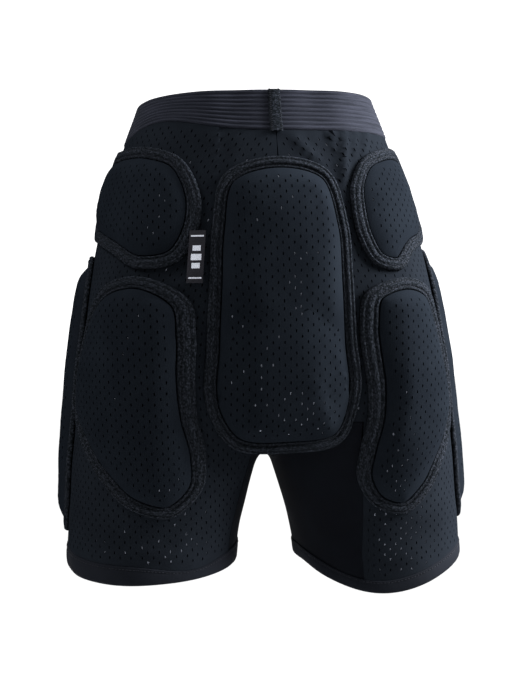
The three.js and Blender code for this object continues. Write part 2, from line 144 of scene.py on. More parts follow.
@dataclass(frozen=True)
class Finish:
    """A finish: its name, its main colour, how rough it is and how much it reflects."""

    name: str
    shade: str
    rough: float
    specular: float = 0.0
    ior: float = 1.5

    @cached_property
    def material(self) -> bpy.types.Material:
        """The finish as a Blender material, made once."""
        made = bpy.data.materials.new(self.name)
        made.use_nodes = True
        tree = made.node_tree
        tree.nodes.clear()
        values = {
            "Base Color": linear(self.shade),
            "Roughness": self.rough,
            "IOR": self.ior,
            "Specular IOR Level": self.specular,
        }
        shader = add_node(tree, "ShaderNodeBsdfPrincipled", None, values)
        add_node(tree, "ShaderNodeOutputMaterial", None, {"Surface": shader.outputs["BSDF"]})
        self.dress(tree, shader)
        return made

    def dress(self, tree: bpy.types.NodeTree, shader: bpy.types.Node) -> None:
        """Add the finish's own pattern. A plain finish has none."""

    def two_tone(
        self,
        tree: bpy.types.NodeTree,
        shader: bpy.types.Node,
        share: bpy.types.NodeSocket,
        pale: str,
        relief: bpy.types.NodeSocket,
        strength: float,
        depth: float,
    ) -> None:
        """Mix the finish's colour with a paler one, and give its surface a relief.

        Args:
            tree: The material's tree.
            shader: Its surface shader.
            share: How much of the paler colour shows.
            pale: The paler colour, as six hex digits.
            relief: Height of the threads, from 0 to 1.
            strength: How strongly the relief shows.
            depth: Its real depth in millimetres.
        """
        tones = {0: share, 6: linear(self.shade), 7: linear(pale)}
        colour = add_node(tree, "ShaderNodeMix", {"data_type": "RGBA"}, tones)
        tree.links.new(colour.outputs[2], shader.inputs["Base Color"])
        raised = {"Strength": strength, "Distance": depth * MM, "Height": relief}
        bump = add_node(tree, "ShaderNodeBump", None, raised)
        tree.links.new(bump.outputs["Normal"], shader.inputs["Normal"])


@dataclass(frozen=True)
class Knit(Finish):
    """Fine polyester knit: rows of small loops that catch the light, with slow changes of depth.

    The loops are really about 0.5 mm apart. They are drawn at wale by course millimetres, coarse
    enough to show in the picture.
    """

    thread: str = "30333b"
    wale: float = 1.0
    course: float = 0.8
    uneven: float = 0.5
    depth: float = 0.12

    def dress(self, tree: bpy.types.NodeTree, shader: bpy.types.Node) -> None:
        """Knit loops from the piece's own lay, and patches of deeper and paler dye.

        Args:
            tree: The material's tree.
            shader: Its surface shader.
        """
        lay = add_node(tree, "ShaderNodeUVMap", {"uv_map": "lay"})
        loops = add_node(
            tree,
            "ShaderNodeVectorMath",
            {"operation": "MULTIPLY"},
            {0: lay.outputs["UV"], 1: (1000 / self.wale, 1000 / self.course, 1.0)},
        )
        cells = add_node(
            tree,
            "ShaderNodeTexVoronoi",
            {"voronoi_dimensions": "2D"},
            {"Vector": loops.outputs[0], "Scale": 1.0, "Randomness": self.uneven},
        )
        place = add_node(tree, "ShaderNodeTexCoord")
        patches = add_node(
            tree,
            "ShaderNodeTexNoise",
            None,
            {"Vector": place.outputs["Object"], "Scale": 26.0, "Detail": 3.0, "Roughness": 0.6},
        )
        steps = {"From Min": 0.05, "From Max": 0.75, "To Min": 0.75, "To Max": 0.0}
        grain = add_node(tree, "ShaderNodeMapRange", None, {"Value": cells.outputs["Distance"], **steps})
        steps = {"From Min": 0.35, "From Max": 0.7, "To Min": 0.0, "To Max": 0.45}
        dye = add_node(tree, "ShaderNodeMapRange", None, {"Value": patches.outputs["Fac"], **steps})
        both = {0: grain.outputs[0], 1: dye.outputs[0]}
        share = add_node(tree, "ShaderNodeMath", {"use_clamp": True}, both)
        self.two_tone(tree, shader, share.outputs[0], self.thread, grain.outputs[0], 0.5, self.depth)


@dataclass(frozen=True)
class Tape(Finish):
    """Coarse overlocked knit tape: a salt and pepper grain of dark and paler threads.

    The threads are about 0.6 mm thick and cross the tape at a slant, which makes short pale dashes.
    """

    thread: str = "45474e"
    grain: float = 1.15
    slant: float = 0.6

    def dress(self, tree: bpy.types.NodeTree, shader: bpy.types.Node) -> None:
        """Short slanted dashes from the tape's lay, broken by noise.

        Args:
            tree: The material's tree.
            shader: Its surface shader.
        """
        lay = add_node(tree, "ShaderNodeUVMap", {"uv_map": "lay"})
        turned = add_node(
            tree,
            "ShaderNodeMapping",
            None,
            {
                "Vector": lay.outputs["UV"],
                "Rotation": (0.0, 0.0, self.slant),
                "Scale": (1000 / (1.9 * self.grain), 1000 / self.grain, 1.0),
            },
        )
        dashes = add_node(
            tree,
            "ShaderNodeTexVoronoi",
            {"voronoi_dimensions": "2D"},
            {"Vector": turned.outputs[0], "Scale": 1.0, "Randomness": 0.85},
        )
        place = add_node(tree, "ShaderNodeTexCoord")
        fuzz = add_node(
            tree,
            "ShaderNodeTexNoise",
            None,
            {"Vector": place.outputs["Object"], "Scale": 620.0, "Detail": 2.0, "Roughness": 0.7},
        )
        steps = {"From Min": 0.1, "From Max": 0.7, "To Min": 0.8, "To Max": 0.0}
        high = add_node(tree, "ShaderNodeMapRange", None, {"Value": dashes.outputs["Distance"], **steps})
        steps = {"From Min": 0.38, "From Max": 0.62, "To Min": 0.0, "To Max": 1.0}
        broken = add_node(tree, "ShaderNodeMapRange", None, {"Value": fuzz.outputs["Fac"], **steps})
        both = {0: high.outputs[0], 1: broken.outputs[0]}
        share = add_node(tree, "ShaderNodeMath", {"operation": "MULTIPLY"}, both)
        self.two_tone(tree, shader, share.outputs[0], self.thread, share.outputs[0], 0.8, 0.3)


@dataclass(frozen=True)
class Woven(Finish):
    """Ribbed elastic or woven ribbon: fine cords across, and fine lines along."""

    thread: str = "4a4c54"
    cord: float = 1.1
    line: float = 0.9

    def dress(self, tree: bpy.types.NodeTree, shader: bpy.types.Node) -> None:
        """Cords and lines from the piece's own lay, with threads that come and go.

        Args:
            tree: The material's tree.
            shader: Its surface shader.
        """
        lay = add_node(tree, "ShaderNodeUVMap", {"uv_map": "lay"})
        cords = add_node(
            tree,
            "ShaderNodeVectorMath",
            {"operation": "MULTIPLY"},
            {0: lay.outputs["UV"], 1: (1000 / self.cord, 1000 / self.line, 1.0)},
        )
        cells = add_node(
            tree,
            "ShaderNodeTexVoronoi",
            {"voronoi_dimensions": "2D", "distance": "CHEBYCHEV"},
            {"Vector": cords.outputs[0], "Scale": 1.0, "Randomness": 0.35},
        )
        runs = add_node(
            tree,
            "ShaderNodeVectorMath",
            {"operation": "MULTIPLY"},
            {0: lay.outputs["UV"], 1: (28.0, 760.0, 1.0)},
        )
        streaks = add_node(
            tree,
            "ShaderNodeTexNoise",
            {"noise_dimensions": "2D"},
            {"Vector": runs.outputs[0], "Scale": 1.0, "Detail": 3.0, "Roughness": 0.7},
        )
        steps = {"From Min": 0.1, "From Max": 0.6, "To Min": 0.7, "To Max": 0.0}
        weave = add_node(tree, "ShaderNodeMapRange", None, {"Value": cells.outputs["Distance"], **steps})
        steps = {"From Min": 0.35, "From Max": 0.7, "To Min": 0.0, "To Max": 0.6}
        worn = add_node(tree, "ShaderNodeMapRange", None, {"Value": streaks.outputs["Fac"], **steps})
        both = {0: weave.outputs[0], 1: worn.outputs[0]}
        share = add_node(tree, "ShaderNodeMath", {"use_clamp": True}, both)
        self.two_tone(tree, shader, share.outputs[0], self.thread, weave.outputs[0], 0.6, 0.15)


@dataclass(frozen=True)
class Ribbon(Finish):
    """Satin-woven label ribbon: black, with plain pale bars across it and no lettering."""

    bar: str = "6c6e74"
    bars: tuple[tuple[float, float, float], ...] = (
        (4.0, 0.6, 4.8),
        (38.5, 0.6, 4.8),
        (14.0, 2.2, 3.0),
        (21.0, 2.6, 3.8),
        (28.5, 2.2, 3.0),
    )

    def dress(self, tree: bpy.types.NodeTree, shader: bpy.types.Node) -> None:
        """Pale bars at set heights, each with its half height and half width in millimetres.

        Args:
            tree: The material's tree.
            shader: Its surface shader.
        """
        lay = add_node(tree, "ShaderNodeUVMap", {"uv_map": "lay"})
        parts = add_node(tree, "ShaderNodeSeparateXYZ", None, {0: lay.outputs["UV"]})
        shown: bpy.types.NodeSocket | None = None
        for height, half, wide in self.bars:
            up = add_node(
                tree,
                "ShaderNodeMath",
                {"operation": "COMPARE"},
                {0: parts.outputs["Y"], 1: height * MM, 2: half * MM},
            )
            across = add_node(
                tree,
                "ShaderNodeMath",
                {"operation": "COMPARE"},
                {0: parts.outputs["X"], 1: LAY_MIDDLE * MM, 2: wide * MM},
            )
            both = add_node(
                tree, "ShaderNodeMath", {"operation": "MULTIPLY"}, {0: up.outputs[0], 1: across.outputs[0]}
            )
            if shown is None:
                shown = both.outputs[0]
            else:
                either = add_node(
                    tree, "ShaderNodeMath", {"operation": "MAXIMUM"}, {0: shown, 1: both.outputs[0]}
                )
                shown = either.outputs[0]
        threads = add_node(
            tree,
            "ShaderNodeVectorMath",
            {"operation": "MULTIPLY"},
            {0: lay.outputs["UV"], 1: (1000 / 0.5, 1000 / 0.9, 1.0)},
        )
        weave = add_node(
            tree,
            "ShaderNodeTexVoronoi",
            {"voronoi_dimensions": "2D", "distance": "CHEBYCHEV"},
            {"Vector": threads.outputs[0], "Scale": 1.0, "Randomness": 0.2},
        )
        self.two_tone(tree, shader, shown, self.bar, weave.outputs["Distance"], 0.4, 0.1)


# Perforated stretch mesh of the body, warp knitted from black polyester: quite matt, near black with a
# blue cast. It has no gloss of its own, because what one loop reflects is lost among its neighbours.
MESH_KNIT = Knit("perforated_stretch_knit", "050608", 0.9, thread="080a0d")
# Smooth jersey of the inner legs: deeper and more even than the mesh, with the faintest gloss.
JERSEY = Knit(
    "smooth_stretch_jersey", "030304", 0.85, 0.003, thread="040507", wale=0.8, uneven=0.3, depth=0.06
)
# The same jersey doubled in the hems, where it isn't stretched and looks as pale as the mesh.
HEM_JERSEY = Knit(
    "doubled_hem_jersey", "050608", 0.85, 0.004, thread="08090c", wale=0.8, uneven=0.3, depth=0.06
)
# Cover of the foam pads: the same perforated knit drawn tight over foam, which evens its tone.
COVER_KNIT = Knit("foam_cover_knit", "040507", 0.88, thread="07090c")
# Border tape of the pads, overlocked: grainy, with little blue, and paler on its high threads.
BORDER_TAPE = Tape("overlocked_knit_tape", "040506", 0.95, thread="181a1f")
# Waist elastic, woven with rubber cords: paler than the body, with fine cords and worn streaks along it.
WAIST_ELASTIC = Woven("corded_waist_elastic", "050608", 0.85, 0.004, thread="121318")
# Spun polyester thread: near black, with a slight gloss that picks the stitches out.
THREAD = Finish("polyester_sewing_thread", "0d0e11", 0.6, 0.01)
# Inside of a perforation: no light comes back out.
HOLE = Finish("shade_in_a_perforation", "030304", 1.0)
# A perforation that light comes through: a small pale fleck.
FLECK = Finish("light_in_a_perforation", "6a6e78", 0.9, 0.01)
# Satin-woven polyester label: black and smooth, with a soft gloss and dull pale bars.
LABEL_RIBBON = Ribbon("satin_label_ribbon", "0b0b0e", 0.55, 0.03)


# Shape of the body, as in the part's source.


# Halvings of a ray that find the body's surface, and the step that finds its slope, in millimetres.
HALVINGS = 34
SLOPE_STEP = 0.5


@dataclass(frozen=True)
class Body:
    """The form that fills the shorts: two legs that run together above the crotch, in millimetres.

    Each row of shares is: down, axis, outer half width, inner half width, back, front, blend.
    """

    length: float = -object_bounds()[0][2] / MM
    half_width: float = 180.0
    back_depth: float = 120.0
    front_depth: float = 99.0
    fullness: float = 2.25
    seat_round: float = 0.0008
    rows: tuple[tuple[float, ...], ...] = (
        (0.0, 0.25, 0.325, 0.444, 0.717, 0.828, 0.5),
        (0.08, 0.261, 0.394, 0.472, 0.775, 0.879, 0.5),
        (0.183, 0.294, 0.45, 0.494, 0.875, 0.939, 0.472),
        (0.297, 0.333, 0.483, 0.511, 0.958, 0.99, 0.444),
        (0.412, 0.372, 0.5, 0.528, 1.0, 1.0, 0.389),
        (0.515, 0.411, 0.5, 0.528, 0.983, 0.98, 0.333),
        (0.618, 0.456, 0.483, 0.511, 0.917, 0.939, 0.256),
        (0.721, 0.5, 0.467, 0.461, 0.833, 0.889, 0.167),
        (0.801, 0.539, 0.442, 0.442, 0.767, 0.848, 0.089),
        (0.881, 0.569, 0.422, 0.422, 0.725, 0.818, 0.056),
        (1.03, 0.594, 0.406, 0.4, 0.7, 0.788, 0.044),
    )

    def track(self, down: Array, column: int) -> Array:
        """A column of the table at any height, by monotone cubic steps.

        Args:
            down: Shares of the length from the top.
            column: The column's number.

        Returns:
            The column's values there.
        """
        table = np.array(self.rows)
        xs, ys = table[:, 0], table[:, column]
        step = np.diff(xs)
        rise = np.diff(ys) / step
        slope = np.concatenate([rise[:1], np.zeros(len(xs) - 2), rise[-1:]])
        for i in range(1, len(xs) - 1):
            if rise[i - 1] * rise[i] > 0:
                a, b = 2 * step[i] + step[i - 1], step[i] + 2 * step[i - 1]
                slope[i] = (a + b) / (a / rise[i - 1] + b / rise[i])
        x = np.clip(down, xs[0], xs[-1])
        i = np.clip(np.searchsorted(xs, x) - 1, 0, len(xs) - 2)
        h = step[i]
        t = (x - xs[i]) / h
        near = (1 + 2 * t) * (1 - t) ** 2 * ys[i] + t * (1 - t) ** 2 * h * slope[i]
        return near + t * t * (3 - 2 * t) * ys[i + 1] + t * t * (t - 1) * h * slope[i + 1]

    def section(self, z: Array) -> list[Array]:
        """The body's section at heights.

        Args:
            z: Heights.

        Returns:
            Axis, outer half width, inner half width, back, front and blend, in millimetres.
        """
        down = -np.asarray(z, float) / self.length
        sizes = (self.half_width,) * 3 + (self.back_depth, self.front_depth, self.half_width)
        return [self.track(down, k + 1) * size for k, size in enumerate(sizes)]

    def outside(self, x: Array, y: Array, z: Array, section: list[Array] | None = None) -> Array:
        """Roughly the distance outside the surface, negative within.

        Args:
            x: Places across.
            y: Places towards the front.
            z: Heights.
            section: The sections there, where they are known already.

        Returns:
            One distance for each point.
        """
        axis, out, inn, back, front, blend = section or self.section(z)

        def leg(px: Array) -> Array:
            """The same for one leg."""
            dx = px - axis
            w = np.where(dx > 0, out, inn)
            h = np.where(y < 0, back, front)
            bend = self.fullness
            r = ((np.abs(dx) / w) ** bend + (np.abs(y) / h) ** bend) ** (1 / bend)
            return (r - 1) * np.minimum(w, h)

        a, b = leg(x), leg(-x)
        share = np.maximum(blend - np.abs(a - b), 0) / blend
        return np.minimum(a, b) - share * share * blend / 4

    def reach(self, ax: Array | float, z: Array, turn: Array) -> Array:
        """Where level rays from an axis leave the body, at the middle plane at the latest.

        Args:
            ax: The axis's distance from the middle plane.
            z: Heights.
            turn: Radians from straight back.

        Returns:
            One point for each ray.
        """
        z, turn, ax = np.broadcast_arrays(*(np.asarray(v, float) for v in (z, turn, ax)))
        sx, sy = np.sin(turn), -np.cos(turn)
        section = self.section(z)
        far = self.half_width + self.back_depth + self.front_depth
        low = np.zeros_like(z)
        stop = np.divide(-ax, sx, out=np.full_like(z, far), where=np.abs(sx) > 1e-9)
        high = np.where(sx * ax < 0, np.minimum(far, stop), far)
        for _ in range(HALVINGS):
            mid = (low + high) / 2
            within = self.outside(ax + mid * sx, mid * sy, z, section) < 0
            low, high = np.where(within, mid, low), np.where(within, high, mid)
        return np.stack([ax + low * sx, low * sy, z], -1)

    def normals(self, p: Array) -> Array:
        """Outward directions at points.

        Args:
            p: Points on or near the surface.

        Returns:
            One unit direction for each.
        """
        x, y, z = p[..., 0], p[..., 1], p[..., 2]
        e = SLOPE_STEP
        section = self.section(z)
        g = np.stack(
            [
                self.outside(x + e, y, z, section) - self.outside(x - e, y, z, section),
                self.outside(x, y + e, z, section) - self.outside(x, y - e, z, section),
                self.outside(x, y, z + e) - self.outside(x, y, z - e),
            ],
            -1,
        )
        return g / np.linalg.norm(g, axis=-1, keepdims=True)

    def lifted(self, p: Array, height: Array | float) -> Array:
        """Points of the surface moved out along its normals."""
        return p + self.normals(p) * np.broadcast_to(height, p.shape[:-1])[..., None]

    def depth(self, x: Array, z: Array, way: Way) -> Array:
        """Depth of the back or front surface at distances from the middle plane.

        Args:
            x: Distances from the middle plane.
            z: Heights.
            way: Back or front.

        Returns:
            One depth for each.
        """
        x, z = np.broadcast_arrays(np.asarray(x, float), np.asarray(z, float))
        low, high = np.zeros_like(x), np.full_like(x, self.back_depth + self.front_depth)
        section = self.section(z)
        for _ in range(HALVINGS):
            mid = (low + high) / 2
            within = self.outside(x, way.value * mid, z, section) < 0
            low, high = np.where(within, mid, low), np.where(within, high, mid)
        return low

    def seat(self, x: Array, z: Array, height: Array | float) -> Array:
        """Points over the seat, which run straight across the hollow between the legs.

        Args:
            x: Places across.
            z: Heights.
            height: How far off the seat.

        Returns:
            One point for each.
        """

        def deep(px: Array, pz: Array) -> Array:
            """Depth of the pad's underside."""
            straight = self.section(pz)[3] - self.seat_round * px * px
            return np.maximum(self.depth(px, pz, Way.BACK), straight)

        e = SLOPE_STEP
        dx = (deep(x + e, z) - deep(x - e, z)) / (2 * e)
        dz = (deep(x, z + e) - deep(x, z - e)) / (2 * e)
        normal = np.stack([-dx, -np.ones_like(dx), -dz], -1)
        normal /= np.linalg.norm(normal, axis=-1, keepdims=True)
        return np.stack([x, -deep(x, z), z], -1) + normal * np.broadcast_to(height, x.shape)[..., None]

    @cached_property
    def crotch(self) -> float:
        """Height of the lowest level at which the two sides still meet."""
        low, high = -0.95 * self.length, -0.4 * self.length
        for _ in range(40):
            mid = (low + high) / 2
            if self.outside(np.zeros(1), np.zeros(1), np.full(1, mid))[0] > 0:
                low = mid
            else:
                high = mid
        return high


BODY = Body()
BAND_HEIGHT = 35.0
PANEL_THICKNESS = 1.6
HEM_HEIGHT = 14.0
SEAM = 0.3


@dataclass(frozen=True)
class Leg:
    """What differs from leg to leg: the hem's dip and height, and the edge of the plain inner panel.

    Turns are degrees from straight back. The hem's side and dip are shares of the body's length.
    """

    side: Side
    hem_side: float
    hem_dip: float
    hem_turn: float
    hem_sharp: float
    hem_high: float
    hem_narrower: float
    edge_turn: float
    edge_most: float
    edge_lean: float
    narrow_turn: float = -18.0
    narrow_spread: float = 24.0

    def hem_bottom(self, turn: Array) -> Array:
        """Height of the bottom edge at turns in radians from straight back."""
        near = np.maximum(np.cos(turn - math.radians(self.hem_turn)), 0)
        return -BODY.length * (self.hem_side + self.hem_dip * near**self.hem_sharp)

    def hem_top(self, turn: Array) -> Array:
        """Height of the hem's top edge: the hem is turned unevenly, and is narrowest behind."""
        off = np.degrees((turn + math.pi) % (2 * math.pi) - math.pi) - self.narrow_turn
        less = self.hem_narrower * np.exp(-((off / self.narrow_spread) ** 2))
        return self.hem_bottom(turn) + self.hem_high - less

    def ends(self, z: Array) -> tuple[Array, Array, Array, Array]:
        """Turns at heights, in radians.

        Args:
            z: Heights.

        Returns:
            The back join, the inner panel's back and front edges, and the front join.
        """
        z = np.asarray(z, float)
        axis = BODY.section(z)[0]
        joined = z > BODY.crotch
        start = np.where(joined, -np.arctan2(axis, BODY.depth(0 * z, z, Way.BACK)), -math.pi / 2)
        end = np.where(joined, math.pi + np.arctan2(axis, BODY.depth(0 * z, z, Way.FRONT)), 1.5 * math.pi)
        edge = np.radians(self.edge_turn - self.edge_lean * np.clip(z / 100 + 4, 0, 1.3))
        first = np.maximum(-edge, start * self.edge_most)
        last = math.pi + np.minimum(edge, (end - math.pi) * self.edge_most)
        return start, first, last, end


LEGS = (
    Leg(
        Side.LEFT,
        hem_side=0.934,
        hem_dip=0.022,
        hem_turn=14.0,
        hem_sharp=1.5,
        hem_high=17.5,
        hem_narrower=8.5,
        edge_turn=47.0,
        edge_most=0.8,
        edge_lean=0.0,
    ),
    Leg(
        Side.RIGHT,
        hem_side=0.943,
        hem_dip=0.057,
        hem_turn=-9.0,
        hem_sharp=3.0,
        hem_high=13.0,
        hem_narrower=2.0,
        edge_turn=21.5,
        edge_most=0.62,
        edge_lean=12.0,
    ),
)
INNER_TOP = -BAND_HEIGHT + (BODY.crotch + BAND_HEIGHT) * 0.885
GUSSET_LEVELS = np.linspace(INNER_TOP - 0.4, BODY.crotch, 11)


@dataclass
class Girth:
    """Lengths of cloth round one leg, measured from the line down its outside."""

    leg: Leg
    step: float = 4.0
    lowest: float = 460.0
    count: int = 260
    turns: Array = field(init=False)
    arcs: Array = field(init=False)

    def __post_init__(self) -> None:
        """Measure the body at every level."""
        levels = -np.arange(0, self.lowest, self.step)
        start, _, _, end = self.leg.ends(levels)
        share = np.linspace(0, 1, self.count + 1)
        self.turns = start[:, None] + (end - start)[:, None] * share
        axis = BODY.section(levels)[0][:, None] + 0 * self.turns
        points = BODY.reach(axis, levels[:, None] + 0 * self.turns, self.turns)
        run = np.linalg.norm(np.diff(points, axis=1), axis=-1)
        self.arcs = np.concatenate([np.zeros((len(levels), 1)), np.cumsum(run, axis=1)], axis=1)
        for row in range(len(levels)):
            self.arcs[row] -= np.interp(math.pi / 2, self.turns[row], self.arcs[row])

    def look_up(self, value: Array, z: Array, known: Array, wanted: Array) -> Array:
        """Read one table against the other at any height.

        Args:
            value: Values of the known table.
            z: Heights.
            known: The table that is looked in, level by level.
            wanted: The table that is read.

        Returns:
            One value of the wanted table for each.
        """
        value, z = np.broadcast_arrays(np.asarray(value, float), np.asarray(z, float))
        level = np.clip(-z / self.step, 0, len(known) - 1.001)
        row = level.astype(int)
        part = level - row
        out = np.zeros_like(value)
        for r in np.unique(row):
            pick = row == r
            near = np.interp(value[pick], known[r], wanted[r])
            far = np.interp(value[pick], known[r + 1], wanted[r + 1])
            out[pick] = near + (far - near) * part[pick]
        return out

    def arc(self, turn: Array, z: Array) -> Array:
        """Length round from the outside line to a turn."""
        return self.look_up(turn, z, self.turns, self.arcs)

    def turn(self, arc: Array, z: Array) -> Array:
        """Turn at a length round from the outside line."""
        return self.look_up(arc, z, self.arcs, self.turns)


# Meshes


def smoothstep(low: float, high: float, value: Array) -> Array:
    """A soft step from 0 at low to 1 at high."""
    t = np.clip((value - low) / (high - low), 0, 1)
    return t * t * (3 - 2 * t)


def ripple(p: Array, size: float, seed: float) -> Array:
    """Soft uneven waves, between about -1 and 1, from sines in fixed directions.

    Args:
        p: Points in millimetres.
        size: Length of the waves.
        seed: Shifts the waves, so that pieces differ.

    Returns:
        One height for each point.
    """
    ways = ((1.0, 0.3, 0.5), (-0.4, 0.8, 1.1), (0.7, -0.9, 0.9), (0.2, 1.2, -0.8))
    total = np.zeros(p.shape[:-1])
    for k, way in enumerate(ways):
        total += np.sin(p @ np.array(way) * (2 * math.pi / size) * (1 + 0.17 * k) + seed * (k + 1.3))
    return total / len(ways)


def make_object(
    name: str,
    points: Array,
    faces: Sequence[Face],
    finish: Finish,
    lay: Array | None = None,
    marks: dict[str, tuple[str, str, Array]] | None = None,
) -> bpy.types.Object:
    """Make an object from points in millimetres, turned to face outwards.

    Args:
        name: The piece's name.
        points: Corners.
        faces: Faces of a closed shell.
        finish: Its finish.
        lay: Flat place of each corner in the cloth, in millimetres.
        marks: Attributes by name, each with its kind, domain and values.

    Returns:
        The object, linked to the scene, at the origin.
    """
    first = np.array([f[0] for f in faces for _ in range(len(f) - 2)])
    second = np.array([f[k] for f in faces for k in range(1, len(f) - 1)])
    third = np.array([f[k + 1] for f in faces for k in range(1, len(f) - 1)])
    volume = np.einsum("ij,ij->", points[first], np.cross(points[second], points[third]))
    turned = [tuple(reversed(f)) for f in faces] if volume < 0 else list(faces)
    mesh = bpy.data.meshes.new(name)
    mesh.from_pydata((points * MM).tolist(), [], turned)
    if lay is not None:
        corner = np.zeros(len(mesh.loops), int)
        mesh.loops.foreach_get("vertex_index", corner)
        flat = lay * MM
        layer = mesh.uv_layers.new(name="lay")
        layer.data.foreach_set("uv", flat[corner].astype(np.float32).ravel())
    for key, (kind, domain, values) in (marks or {}).items():
        attribute = mesh.attributes.new(key, kind, domain)
        attribute.data.foreach_set("value" if kind != "FLOAT_VECTOR" else "vector", np.ravel(values))
    mesh.materials.append(finish.material)
    mesh.shade_smooth()
    mesh.update()
    made = bpy.data.objects.new(name, mesh)
    bpy.context.scene.collection.objects.link(made)
    return made


def crisp(piece: bpy.types.Object, degrees: float = 48.0) -> None:
    """Keep edges sharper than an angle crisp."""
    piece.data.set_sharp_from_angle(angle=math.radians(degrees))


def apply_tree(piece: bpy.types.Object, tree: bpy.types.NodeTree, values: dict[str, Any]) -> None:
    """Run a node tree on a piece and keep its result as plain mesh.

    Args:
        piece: The object.
        tree: The Geometry Nodes tree.
        values: Its inputs by name.
    """
    modifier = piece.modifiers.new("shape", "NODES")
    modifier.node_group = tree
    sockets = {s.name: s.identifier for s in tree.interface.items_tree if s.in_out == "INPUT"}
    for key, value in values.items():
        modifier[sockets[key]] = value
    bpy.context.view_layer.update()
    shaped = piece.evaluated_get(bpy.context.evaluated_depsgraph_get())
    result = bpy.data.meshes.new_from_object(shaped)
    piece.modifiers.clear()
    old = piece.data
    piece.data = result
    bpy.data.meshes.remove(old)
    result.name = piece.name


def new_tree(name: str, inputs: Sequence[tuple[str, str, Any]]) -> tuple[bpy.types.NodeTree, Any]:
    """Start a Geometry Nodes tree with named inputs.

    Args:
        name: The tree's name.
        inputs: Name, socket type and default of each input after the geometry.

    Returns:
        The tree and the sockets of its inputs.
    """
    tree = bpy.data.node_groups.new(name, "GeometryNodeTree")
    tree.interface.new_socket("Geometry", in_out="INPUT", socket_type="NodeSocketGeometry")
    for key, kind, default in inputs:
        socket = tree.interface.new_socket(key, in_out="INPUT", socket_type=kind)
        if default is not None:
            socket.default_value = default
    tree.interface.new_socket("Geometry", in_out="OUTPUT", socket_type="NodeSocketGeometry")
    return tree, tree.nodes.new("NodeGroupInput").outputs


def perforation_tree() -> bpy.types.NodeTree:
    """Sinks every face marked as a pit into the cloth, and gives some of the floors a pale fleck.

    Returns:
        The tree, with inputs Depth, Narrowing, Seed, Hole and Fleck.
    """
    tree, given = new_tree(
        "perforations",
        (
            ("Depth", "NodeSocketFloat", 0.0009),
            ("Narrowing", "NodeSocketFloat", 0.85),
            ("Seed", "NodeSocketInt", 3),
            ("Hole", "NodeSocketMaterial", None),
            ("Fleck", "NodeSocketMaterial", None),
        ),
    )
    pit = add_node(tree, "GeometryNodeInputNamedAttribute", {"data_type": "BOOLEAN"}, {"Name": "pit"})
    lit = add_node(tree, "GeometryNodeInputNamedAttribute", {"data_type": "FLOAT"}, {"Name": "lit"})
    down = add_node(tree, "ShaderNodeMath", {"operation": "MULTIPLY"}, {0: given["Depth"], 1: -1.0})
    sink = {
        "Mesh": given["Geometry"],
        "Selection": pit.outputs["Attribute"],
        "Offset Scale": down.outputs[0],
        "Individual": True,
    }
    sunk = add_node(tree, "GeometryNodeExtrudeMesh", {"mode": "FACES"}, sink)
    top, side = sunk.outputs["Top"], sunk.outputs["Side"]
    floors = {"Geometry": sunk.outputs["Mesh"], "Selection": top, "Scale": given["Narrowing"]}
    narrow = add_node(tree, "GeometryNodeScaleElements", {"domain": "FACE"}, floors)
    either = add_node(tree, "FunctionNodeBooleanMath", {"operation": "OR"}, {0: top, 1: side})
    seed = {"Seed": given["Seed"]}
    chance = add_node(tree, "FunctionNodeRandomValue", {"data_type": "FLOAT"}, seed)
    less = {"data_type": "FLOAT", "operation": "LESS_THAN"}
    pale = add_node(tree, "FunctionNodeCompare", less, {0: chance.outputs[1], 1: lit.outputs["Attribute"]})
    speck = add_node(tree, "FunctionNodeBooleanMath", {"operation": "AND"}, {0: top, 1: pale.outputs[0]})
    whole = add_node(tree, "GeometryNodeRealizeInstances", None, {"Geometry": narrow.outputs[0]})
    holes = {"Geometry": whole.outputs[0], "Selection": either.outputs[0], "Material": given["Hole"]}
    dark = add_node(tree, "GeometryNodeSetMaterial", None, holes)
    flecks = {"Geometry": dark.outputs[0], "Selection": speck.outputs[0], "Material": given["Fleck"]}
    done = add_node(tree, "GeometryNodeSetMaterial", None, flecks)
    add_node(tree, "NodeGroupOutput", None, {0: done.outputs[0]})
    return tree


